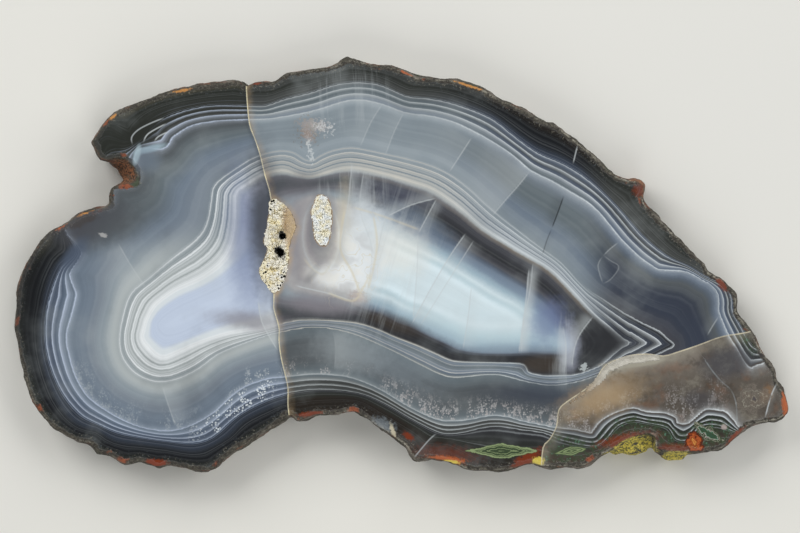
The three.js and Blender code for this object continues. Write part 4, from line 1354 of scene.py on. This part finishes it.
    def rind(self) -> tuple[Socket, Socket]:
        """Colours the weathered rind and the host rock that clings to it, with painted shade in their
        deepest pits.

        Returns:
            The colour and the height of its grain.
        """
        g, place = self.g, self.place
        fine = g.noise(place, 3.2, 5.0, 0.7)
        broad = g.noise(place, 0.33, 5.0, 0.65)
        pitted = g.noise(place, 1.1, 3.0, 0.6)
        colour = g.mix(g.step(fine, 0.35, 0.65), Tint.BARK, Tint.OLIVE)
        colour = g.over(colour, Tint.DUN, g.step(broad, 0.48, 0.66, 0.0, 0.75))
        colour = g.over(colour, Tint.MOSS, g.step(broad, 0.42, 0.34, 0.0, 0.5))
        crust = g.times(g.step(fine, 0.54, 0.68), g.step(pitted, 0.42, 0.6))
        colour = g.over(colour, Tint.LINEN, crust, 0.6)
        rust = g.times(g.step(g.noise(place, 0.28, 6.0, 0.7), 0.53, 0.66), g.step(fine, 0.35, 0.55))
        rust = g.times(rust, 0.7)
        colour = g.over(colour, g.mix(g.step(fine, 0.4, 0.7), Tint.RUST, Tint.CLAY), rust)
        # Painted shade: soot darkens the rind's deepest pits, where the bump is lowest.
        colour = g.over(colour, Tint.SOOT, g.step(pitted, 0.4, 0.3, 0.0, 0.6))
        for tint, dark, centre, half in ROCK_SPOTS:
            mask = self.effects.oval(g, place, pitted, centre, half, ragged=1.6, soft=0.2)["Mask"]
            # The dark tint is partly the rock's own dark grains and partly painted shade between its grains.
            rock = g.mix(g.step(fine, 0.38, 0.58), dark, tint)
            # Painted shade: olive darkens the host rock's deepest pits.
            rock = g.mix(g.step(pitted, 0.46, 0.36), rock, Tint.OLIVE)
            colour = g.mix(mask, colour, rock)
        height = g.math("ADD", g.times(fine, 0.7), g.times(pitted, 1.4))
        return colour, g.math("ADD", height, g.times(self.waver, 0.2))


@dataclass(frozen=True)
class AgateFinish:
    """Banded agate: polished on the face, rough on the rind and sawn on the back.

    polish, sawn, weathered and frosted are roughnesses. Each level is a pair of heights in
    millimetres, between which one look turns into another.
    """

    effects: Effects
    polish: float = 0.13
    sawn: float = 0.5
    weathered: float = 0.85
    frosted: float = 0.55
    ior: float = 1.54
    relief: float = 0.12
    face_level: Span = (5.86, 5.985)
    back_level: Span = (0.12, 0.02)
    chip_level: Span = (5.2, 5.5)
    saw_slant: float = 0.23

    def material(self) -> bpy.types.Material:
        """Makes the material.

        Returns:
            The material, which reads the slice's own attributes and Object coordinates.
        """
        made, g, shader = open_material("banded agate")
        face = AgateFace(g, self.effects)
        face.fine_banding()
        face.lines()
        face.clouds()
        face.plumes()
        face.flake_growths()
        rim_mask = face.rim_zone()
        face.patches()
        face.folds()
        face.curtains()
        face.cracks()
        face.rosettes()
        groove = face.fissures()
        place, x, z, hollow = face.place, face.x, face.z, face.hollow

        on_face = g.step(z, *self.face_level)
        on_back = g.step(z, *self.back_level)
        chip = g.times(g.step(face.rim, 3.0, 4.0), g.step(z, *self.chip_level))
        chip = g.times(chip, g.step(z, 5.985, 5.95))
        chip = g.times(chip, g.step(hollow, -2.0, -3.0))
        rind, rind_height = face.rind()
        stone_wall = g.step(g.math("MAXIMUM", hollow, face.pocket), -2.0, -1.0)
        rind = g.mix(stone_wall, rind, g.mix(g.noise(place, 1.5), Tint.TAUPE, Tint.SAND))
        sawn = g.mix(0.45, face.colour, Tint.STEEL)
        sawn = g.over(sawn, Tint.PEARL, g.noise(place, 0.6), 0.25)
        lip = g.mix(g.noise(place, 1.2, 4.0), Tint.DUN, Tint.SAND)
        reached = g.step(x, 27.0, 31.0)
        pale_lip = g.mix(reached, lip, g.mix(g.noise(place, 1.2, 4.0), Tint.LINEN, Tint.IVORY))
        colour = g.mix(on_face, rind, face.colour)
        colour = g.mix(chip, colour, pale_lip)
        colour = g.mix(on_back, colour, sawn)

        rough = g.blend(g.times(rim_mask, 0.8), self.polish, self.weathered)
        rough = g.math("ADD", rough, g.times(face.waver, 0.04))
        rough = g.blend(on_face, self.weathered, rough)
        rough = g.blend(g.times(chip, 0.9), rough, self.frosted)
        rough = g.blend(on_back, rough, self.sawn)

        saw = g.stripes(g.math("ADD", x, g.times(face.y, self.saw_slant)), 3.2, 3.0)
        height = g.blend(on_face, rind_height, g.times(g.noise(place, 5.0), rim_mask))
        height = g.math("SUBTRACT", height, g.times(groove, 0.5))
        height = g.blend(on_back, height, g.times(saw, 0.25))
        height = g.math("ADD", height, g.times(chip, g.noise(place, 1.6, 4.0)))
        bump = g.node("Bump", {"Height": height, "Strength": 0.8, "Distance": self.relief * MM}).outputs[0]
        g.feed(shader, {"Base Color": colour, "Roughness": rough, "Normal": bump, "IOR": self.ior})
        return made


@dataclass(frozen=True)
class QuartzFinish:
    """Sugary quartz in a hollow: light grains clouded by warm, and a shadow tint for painted shade in the
    pits and deeper down.
    """

    effects: Effects
    name: str
    light: Tint
    warm: Tint
    shadow: Tint
    warmth: float
    patches: tuple[Patch, ...] = ()
    gloss: float = 0.32
    ior: float = 1.54
    relief: float = 0.06

    def material(self) -> bpy.types.Material:
        """Makes the material.

        Returns:
            The material, which reads Object coordinates.
        """
        made, g, shader = open_material(self.name)
        place = g.place()
        z = g.axes(place)[2]
        grain = self.effects.grains(g, place, 3.4, 0.3)["Grain"]
        fine = g.noise(place, 6.0, 4.0, 0.65)
        cloud = g.step(g.noise(place, 0.9, 5.0), 0.38, 0.62)
        colour = g.over(self.light, self.warm, cloud, self.warmth)
        colour = g.over(colour, self.light, grain, 0.3)
        # Painted shade: the shadow tint darkens the low spots of the grains' bump.
        pit_shade = g.times(g.step(fine, 0.46, 0.34), g.step(g.noise(place, 1.3), 0.42, 0.56))
        colour = g.over(colour, self.shadow, pit_shade, 0.6)
        # Painted shade: the shadow tint darkens the crust the deeper it lies in the hollow.
        colour = g.over(colour, self.shadow, g.step(z, 5.0, 3.6), 0.3)
        waver = g.noise(place, 1.5, 5.0, 0.7)
        colour = self.effects.paint(g, colour, place, self.patches, (waver, waver))
        rough = g.scale(grain, 0.0, 1.0, self.gloss, self.gloss + 0.25)
        bump = g.node("Bump", {"Height": fine, "Strength": 0.5, "Distance": self.relief * MM}).outputs[0]
        g.feed(shader, {"Base Color": colour, "Roughness": rough, "Normal": bump, "IOR": self.ior})
        return made


def select_only(piece: bpy.types.Object) -> None:
    """Selects one object and makes it active.

    Args:
        piece: the object.
    """
    bpy.ops.object.select_all(action="DESELECT")
    piece.select_set(True)
    bpy.context.view_layer.objects.active = piece


def merged_copy(node: bpy.types.Object, name: str) -> bpy.types.Object:
    """Copies a CAD node and merges the copy's loose triangles.

    Args:
        node: the CAD node, which is left as it is.
        name: the copy's name.

    Returns:
        The copy, with a mesh of its own.
    """
    bpy.ops.object.select_all(action="DESELECT")
    bpy.ops.mesh.primitive_cube_add(size=MM)
    piece = bpy.context.object
    piece.name = name
    piece.data = node.data.copy()
    piece.data.name = name
    piece.data.materials.clear()
    select_only(piece)
    bpy.ops.object.mode_set(mode="EDIT")
    bpy.ops.mesh.select_all(action="SELECT")
    bpy.ops.mesh.remove_doubles(threshold=MERGE_DISTANCE * MM)
    bpy.ops.object.mode_set(mode="OBJECT")
    return piece


def voxel_remesh(piece: bpy.types.Object, size: float) -> None:
    """Rebuilds a piece's mesh as an even net.

    Args:
        piece: the piece.
        size: the net's step in millimetres.
    """
    select_only(piece)
    made = piece.modifiers.new("even net", "REMESH")
    made.mode = "VOXEL"
    made.voxel_size = size * MM
    bpy.ops.object.modifier_apply(modifier=made.name)


def read_vertices(piece: bpy.types.Object, value: str) -> np.ndarray:
    """Reads a vector of each vertex of a piece.

    Args:
        piece: the piece.
        value: which vector, co or normal.

    Returns:
        One row for each vertex.
    """
    flat = np.empty(len(piece.data.vertices) * 3)
    piece.data.vertices.foreach_get(value, flat)
    return flat.reshape(-1, 3)


def vertices_mm(piece: bpy.types.Object) -> np.ndarray:
    """The places of a piece's vertices, in millimetres."""
    return read_vertices(piece, "co") / MM


def move_vertices(piece: bpy.types.Object, places: np.ndarray) -> None:
    """Puts a piece's vertices at the given places, in millimetres."""
    piece.data.vertices.foreach_set("co", (places * MM).ravel())
    piece.data.update()


def roughen(piece: bpy.types.Object, group: str, size: float, strength: float) -> None:
    """Pushes part of a piece in and out with soft noise.

    Args:
        piece: the piece to roughen.
        group: the vertex group that says where.
        size: the size of the lumps, in millimetres.
        strength: how far they reach, in millimetres.
    """
    texture = bpy.data.textures.new(f"{piece.name} {group}", "CLOUDS")
    texture.noise_scale = size * MM
    texture.noise_depth = 3
    select_only(piece)
    made = piece.modifiers.new("roughness", "DISPLACE")
    made.texture = texture
    made.texture_coords = "LOCAL"
    made.vertex_group = group
    made.strength = strength * MM
    made.mid_level = 0.5
    bpy.ops.object.modifier_apply(modifier=made.name)


def weight_group(piece: bpy.types.Object, name: str, weights: np.ndarray) -> None:
    """Adds a vertex group, with its weights rounded to WEIGHT_STEPS steps.

    Args:
        piece: the piece.
        name: the group's name.
        weights: the weight of each vertex.
    """
    made = piece.vertex_groups.new(name=name)
    steps = np.round(np.clip(weights, 0, 1) * WEIGHT_STEPS).astype(int)
    for step in range(1, WEIGHT_STEPS + 1):
        made.add(np.flatnonzero(steps == step).tolist(), step / WEIGHT_STEPS, "REPLACE")


@dataclass
class PolishedSlice:
    """The slice itself: its flat face, its rough rind, its sawn back and the values of its marking.

    Lengths are in millimetres. The rind's roughness grows between the two distances of rind_edge from
    the face and the back, and between those of clear from a hollow. A level says how near its plane a
    flat place lies, and facing how squarely it faces up or down.
    """

    finish: AgateFinish
    node: str = "agate_slice"
    name: str = "polished_slice"
    net: float = 0.31
    rind_lump: float = 1.1
    rind_relief: float = 0.32
    rind_edge: Span = (0.05, 0.7)
    clear: Span = (-1.0, -2.0)
    level: float = 0.12
    facing: float = 0.95
    cad_level: float = 0.05
    cad_facing: float = 0.999
    back_level: float = 0.02
    back_facing: float = 0.99
    lip: float = 3.0
    back_share: float = 0.1
    crease: float = 38.0

    def build(self, frame: dict) -> bpy.types.Object:
        """Makes the piece.


        Returns:
            The finished piece.
        """
        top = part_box(self.node)[1].z / MM
        piece = merged_copy(frame["nodes"][self.node], self.name)
        rim = self.rim_edges(piece, top)
        voxel_remesh(piece, self.net)
        self.flatten(piece, top)
        self.thin_back(piece)
        self.roughen_rind(piece, top)
        self.mark(piece, rim)
        piece.data.materials.append(self.finish.material())
        select_only(piece)
        bpy.ops.object.shade_smooth_by_angle(angle=math.radians(self.crease))
        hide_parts(self.node)
        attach(piece, "root")
        return piece

    def rim_edges(self, piece: bpy.types.Object, top: float) -> tuple[np.ndarray, np.ndarray]:
        """Finds the edge of the polished face on the CAD shape.

        Args:
            piece: the merged copy of the CAD node.
            top: the height of the face in millimetres.

        Returns:
            The ends of each of its straight pieces, in millimetres.
        """
        mesh = bmesh.new()
        mesh.from_mesh(piece.data)
        start, end = [], []
        for edge in mesh.edges:
            if len(edge.link_faces) != 2:
                continue
            flat = [
                face.normal.z > self.cad_facing and face.calc_center_median().z > (top - self.cad_level) * MM
                for face in edge.link_faces
            ]
            if flat[0] != flat[1]:
                start.append(edge.verts[0].co.xy[:])
                end.append(edge.verts[1].co.xy[:])
        mesh.free()
        start, end = np.array(start) / MM, np.array(end) / MM
        outer = Outline(BAND_E).distance((start + end) / 2) < self.lip
        return start[outer], end[outer]

    def flatten(self, piece: bpy.types.Object, top: float) -> None:
        """Brings the net's face and back to the exact planes.

        Args:
            piece: the slice.
            top: the height of the face in millimetres.
        """
        places, facing = vertices_mm(piece), read_vertices(piece, "normal")
        face = (places[:, 2] > top - self.level) & (facing[:, 2] > self.facing)
        back = (places[:, 2] < self.level) & (facing[:, 2] < -self.facing)
        places[face, 2] = top
        places[back, 2] = 0.0
        move_vertices(piece, places)

    def thin_back(self, piece: bpy.types.Object) -> None:
        """Leaves fewer triangles on the flat back.

        Args:
            piece: the slice.
        """
        select_only(piece)
        for polygon in piece.data.polygons:
            low = polygon.center.z < self.back_level * MM
            polygon.select = low and polygon.normal.z < -self.back_facing
        bpy.ops.object.mode_set(mode="EDIT")
        bpy.ops.mesh.select_mode(type="FACE")
        bpy.ops.mesh.decimate(ratio=self.back_share)
        bpy.ops.object.mode_set(mode="OBJECT")

    def roughen_rind(self, piece: bpy.types.Object, top: float) -> None:
        """Roughens the rind, and leaves the face, the back and the hollows as they are.

        Args:
            piece: the slice.
            top: the height of the face in millimetres.
        """
        places = vertices_mm(piece)
        start, full = self.rind_edge
        hollow = np.maximum(*(MEASURED[name].distance(places[:, :2]) for name in ("hollow", "pocket")))
        weight = ease(places[:, 2], top - start, top - full) * ease(places[:, 2], start, full)
        weight *= ease(hollow, *self.clear)
        weight_group(piece, "rind", weight)
        roughen(piece, "rind", self.rind_lump, self.rind_relief)

    def mark(self, piece: bpy.types.Object, rim: tuple[np.ndarray, np.ndarray]) -> None:
        """Gives each vertex the values that the marking is painted by.

        Args:
            piece: the slice.
            rim: the ends of the straight pieces of the face's edge.
        """
        places = vertices_mm(piece)[:, :2]
        rim_distance = np.abs(measure(places, *rim)[0])
        values = {name: outline.distance(places) for name, outline in MEASURED.items()}
        values["growth"] = Growth().values(places, rim_distance)
        values["rim"] = rim_distance
        values["veil"] = np.zeros(len(places))
        for number, layer in enumerate(CRACK_LAYERS):
            found = [crack.values(places) for crack in layer]
            beside, strength, veil = (np.array(part) for part in zip(*found))
            nearest = np.abs(beside).argmin(0)
            rows = np.arange(len(places))
            values[f"crack_{number}"] = beside[nearest, rows]
            values[f"crack_{number}_strength"] = strength[nearest, rows]
            values["veil"] += veil.sum(0)
        for name, value in values.items():
            made = piece.data.attributes.new(name, "FLOAT", "POINT")
            made.data.foreach_set("value", value.astype(np.float32))


@dataclass
class QuartzLining:
    """The crystal lining of one hollow: a rough bed and the crystals that stand on it.

    Lengths are in millimetres. The bed's border is spread out to the wall and lifted towards the face.
    A crystal's width and height lie between two sizes, and it strays by up to the jitter, a share of
    the spacing. No crystal grows in a bare oval, given by its centre and half size in drawn pixels.
    """

    finish: QuartzFinish
    node: str
    name: str
    slot: str
    outline: Points
    seed: int
    spacing: float
    width: Span
    height: Span
    bare: tuple[tuple[Point, Point], ...] = ()
    net: float = 0.13
    probe: float = 0.05
    border: float = 1.4
    spread: float = 0.42
    lift: float = 0.3
    lift_above: float = 4.0
    top: float = 5.99
    bed_lump: float = 0.4
    bed_relief: float = 0.25
    jitter: float = 0.4
    tilt: float = 0.48
    upward: float = 0.6
    slack: float = 0.08
    above: float = 20.0
    point: float = 0.4
    blunt: float = 0.25
    crease: float = 30.0

    def build(self, frame: dict) -> bpy.types.Object:
        """Makes the piece.


        Returns:
            The finished piece.
        """
        piece = merged_copy(frame["nodes"][self.node], self.name)
        voxel_remesh(piece, self.net)
        self.fill_gap(piece)
        weight_group(piece, "bed", ease(read_vertices(piece, "normal")[:, 2], 0.0, 0.5))
        roughen(piece, "bed", self.bed_lump, self.bed_relief)
        self.grow(piece)
        piece.data.materials.append(self.finish.material())
        select_only(piece)
        bpy.ops.object.shade_smooth_by_angle(angle=math.radians(self.crease))
        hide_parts(self.node)
        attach(piece, "root")
        return piece

    def fill_gap(self, piece: bpy.types.Object) -> None:
        """Spreads the bed out to the wall of its hollow, and lifts its border towards the face.

        Args:
            piece: the bed, which stands clear of the wall as the CAD solid does.
        """
        places = vertices_mm(piece)
        outline = Outline(self.outline)
        inside = outline.distance(places[:, :2])
        slope = np.stack([
            outline.distance(places[:, :2] + (self.probe, 0.0)) - inside,
            outline.distance(places[:, :2] + (0.0, self.probe)) - inside,
        ], 1) / self.probe
        near = ease(inside, self.border, 0.0)
        places[:, :2] -= slope * (near * self.spread)[:, None]
        places[:, 2] += near * self.lift * (places[:, 2] > self.lift_above)
        move_vertices(piece, places)

    def crystal(self) -> bpy.types.Object:
        """Models one six-sided crystal, a millimetre wide and high, with a blunt point above that.

        Returns:
            The crystal, which is copied for each place and then removed.
        """
        bpy.ops.object.select_all(action="DESELECT")
        bpy.ops.mesh.primitive_cylinder_add(
            vertices=6, radius=0.5 * MM, depth=1.0 * MM, end_fill_type="NGON", location=(0, 0, 0)
        )
        made = bpy.context.object
        for polygon in made.data.polygons:
            polygon.select = polygon.normal.z > 0.9
        bpy.ops.object.mode_set(mode="EDIT")
        bpy.ops.mesh.select_mode(type="FACE")
        bpy.ops.mesh.extrude_region_move(TRANSFORM_OT_translate={"value": (0, 0, self.point * MM)})
        bpy.ops.transform.resize(value=(self.blunt, self.blunt, 1.0))
        bpy.ops.object.mode_set(mode="OBJECT")
        return made

    def places(self, chance: random.Random) -> list[Point]:
        """Strews places over the hollow's box, in rows that each stray a little.

        Args:
            chance: the source of the random draws.

        Returns:
            The places in millimetres.
        """
        path = Outline(self.outline).path()
        low, high = path.min(0), path.max(0)
        found = []
        y = low[1]
        while y < high[1]:
            x = low[0]
            while x < high[0]:
                found.append((x + chance.uniform(-self.jitter, self.jitter) * self.spacing,
                              y + chance.uniform(-self.jitter, self.jitter) * self.spacing))
                x += self.spacing
            y += self.spacing * ROW_SHARE
        return found

    def grow(self, piece: bpy.types.Object) -> None:
        """Sets crystals on the bed, close together, and joins them to it.

        Args:
            piece: the bed.
        """
        chance = random.Random(self.seed)
        crystal = self.crystal()
        tree = BVHTree.FromObject(piece, bpy.context.evaluated_depsgraph_get())
        spots = self.places(chance)
        inside = Outline(self.outline).distance(np.array(spots)) > -self.slack
        mesh = bmesh.new()
        mesh.from_mesh(piece.data)
        count = 0
        for spot, kept in zip(spots, inside):
            start = Vector((spot[0] * MM, spot[1] * MM, self.above * MM))
            hit = tree.ray_cast(start, Vector((0, 0, -1)))
            if not kept or hit[0] is None or self.is_bare(spot):
                continue
            lean = Vector((chance.uniform(-1, 1), chance.uniform(-1, 1), 0)) * self.tilt
            upwards = (hit[1] + lean + Vector((0, 0, self.upward))).normalized()
            turn = upwards.to_track_quat("Z", "Y").to_matrix().to_4x4()
            wide = chance.uniform(*self.width)
            size = Matrix.Diagonal((wide, wide, chance.uniform(*self.height), 1.0))
            spin = Matrix.Rotation(chance.uniform(0, math.pi), 4, "Z")
            copy = crystal.data.copy()
            copy.transform(Matrix.Translation(hit[0]) @ turn @ spin @ size)
            mesh.from_mesh(copy)
            bpy.data.meshes.remove(copy)
            count += 1
        mesh.to_mesh(piece.data)
        mesh.free()
        bpy.data.objects.remove(crystal)
        places = vertices_mm(piece)
        places[:, 2] = np.minimum(places[:, 2], self.top)
        move_vertices(piece, places)
        LOG.info("%s carries %d crystals", self.name, count)

    def is_bare(self, spot: Point) -> bool:
        """Tells whether no crystal grows at a place.

        Args:
            spot: the place in millimetres.

        Returns:
            True inside one of the bare ovals.
        """
        for centre, half in self.bare:
            x, y = to_mm(centre)
            if ((spot[0] - x) / (half[0] * PIXEL_MM)) ** 2 + ((spot[1] - y) / (half[1] * PIXEL_MM)) ** 2 < 1:
                return True
        return False


@dataclass
class Studio:
    """The floor, the soft lights and the camera.

    The camera's lengths are in millimetres and the others in metres. Each light has a name, a side and
    a width as shares of the reach, and watts.
    """

    lens: float = 100.0
    sensor: float = 36.0
    reach: float = 0.55
    height: float = 0.42
    floor: float = 3.0
    sunk: float = 0.00005
    lights: tuple[tuple[str, Point, float, float], ...] = (
        ("key", (-0.75, 0.75), 0.8, 2.75),
        ("fill", (0.95, 0.25), 0.9, 1.65),
        ("front", (0.1, -1.0), 0.9, 1.65),
        ("rear", (0.3, 1.0), 0.7, 1.2),
    )
    sky: tuple[float, float, float, float] = (0.9, 0.95, 1.0, 1.0)
    sky_strength: float = 0.15

    def build(self, face: float) -> None:
        """Sets up the floor, the lights, the world and the camera.

        Args:
            face: the height of the polished face, in metres.
        """
        self.lay_floor()
        for name, side, size, power in self.lights:
            self.light(name, side, size, power)
        world = bpy.data.worlds.new("studio")
        world.use_nodes = True
        background = world.node_tree.nodes["Background"]
        background.inputs["Color"].default_value = self.sky
        background.inputs["Strength"].default_value = self.sky_strength
        bpy.context.scene.world = world
        self.place_camera(face)
        bpy.context.scene.view_settings.view_transform = "Standard"

    def lay_floor(self) -> None:
        """Lays the plain floor under the slice."""
        bpy.ops.object.select_all(action="DESELECT")
        bpy.ops.mesh.primitive_plane_add(size=self.floor, location=(0, 0, -self.sunk))
        floor = bpy.context.object
        floor.name = "floor"
        made, g, shader = open_material("pale floor")
        tone = g.noise(g.place(), 0.004, 2.0)
        colour = g.mix(tone, Tint.FLOOR, Tint.SUGAR)
        g.feed(shader, {"Base Color": colour, "Roughness": 0.9, "Specular IOR Level": 0.15})
        floor.data.materials.append(made)

    def light(self, name: str, side: Point, size: float, power: float) -> None:
        """Hangs one soft light beside the slice.

        Args:
            name: the light's name.
            side: its direction from the slice, as shares of the lights' reach.
            size: its width, as a share of the reach.
            power: its strength in watts.
        """
        made = bpy.data.lights.new(name, "AREA")
        made.shape = "SQUARE"
        made.size = size * self.reach
        made.energy = power
        lamp = bpy.data.objects.new(name, made)
        bpy.context.collection.objects.link(lamp)
        lamp.location = (side[0] * self.reach, side[1] * self.reach, self.height)
        lamp.rotation_euler = (-lamp.location).to_track_quat("-Z", "Y").to_euler()

    def place_camera(self, face: float) -> None:
        """Looks straight down on the face, at the scale of the drawing.

        Args:
            face: the height of the polished face, in metres.
        """
        data = bpy.data.cameras.new("camera")
        data.lens = self.lens
        data.sensor_width = self.sensor
        camera = bpy.data.objects.new("camera", data)
        bpy.context.collection.objects.link(camera)
        x, y = to_mm(PICTURE_CENTRE)
        away = PICTURE_WIDTH * PIXEL_MM * self.lens / self.sensor
        camera.location = (x * MM, y * MM, face + away * MM)
        bpy.context.scene.camera = camera


def main() -> None:
    """Builds the slice, its linings and the studio, and reports each piece."""
    logging.basicConfig(level=logging.INFO, format="%(message)s")
    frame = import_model()
    effects = Effects.make()
    parts = (
        PolishedSlice(AgateFinish(effects)),
        QuartzLining(
            QuartzFinish(
                effects, "yellow sugary quartz", Tint.SUGAR, Tint.STRAW, Tint.OCHRE, 0.9,
                (
                    Patch(Tint.SAND, (291, 228), (8, 26), 0.1, 0.85, 0.4, 0.35),
                    # Painted highlight: a pale patch along the hollow's left edge.
                    Patch(Tint.SUGAR, (266, 236), (5, 12), 0.0, 0.8, 0.6, 0.4),
                    Patch(Tint.SUGAR, (277, 262), (7, 8), 0.0, 0.7, 0.8, 0.4),
                    # Painted shade: near-black patches stand for the shade inside the two deep holes, where
                    # no crystals grow.
                    Patch(Tint.SOOT, (282, 236), (3.6, 4.8), 0.4, 0.97, 2.6, 0.2),
                    Patch(Tint.SOOT, (279.4, 252), (4.2, 7), 0.5, 0.97, 2.6, 0.2),
                ),
            ),
            "fissure_vug_crust", "fissure_crystals", "fissure_quartz", FISSURE_HOLLOW, 5, 0.36,
            (0.26, 0.5), (0.24, 0.5),
            (((291, 228), (7, 24)), ((282, 236), (3.6, 3.6)), ((279.4, 252), (4.2, 4.2))),
        ),
        QuartzLining(
            QuartzFinish(effects, "white sugary quartz", Tint.SNOW, Tint.STRAW, Tint.SAND, 0.7),
            "small_vug_crust", "small_hollow_crystals", "small_quartz", SMALL_HOLLOW, 8, 0.34,
            (0.24, 0.46), (0.22, 0.44),
        ),
    )
    for part in parts:
        piece = part.build(frame)
        LOG.info("%s: %d faces", piece.name, len(piece.data.polygons))
    Studio().build(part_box("agate_slice")[1].z)


if __name__ == "__main__":
    main()
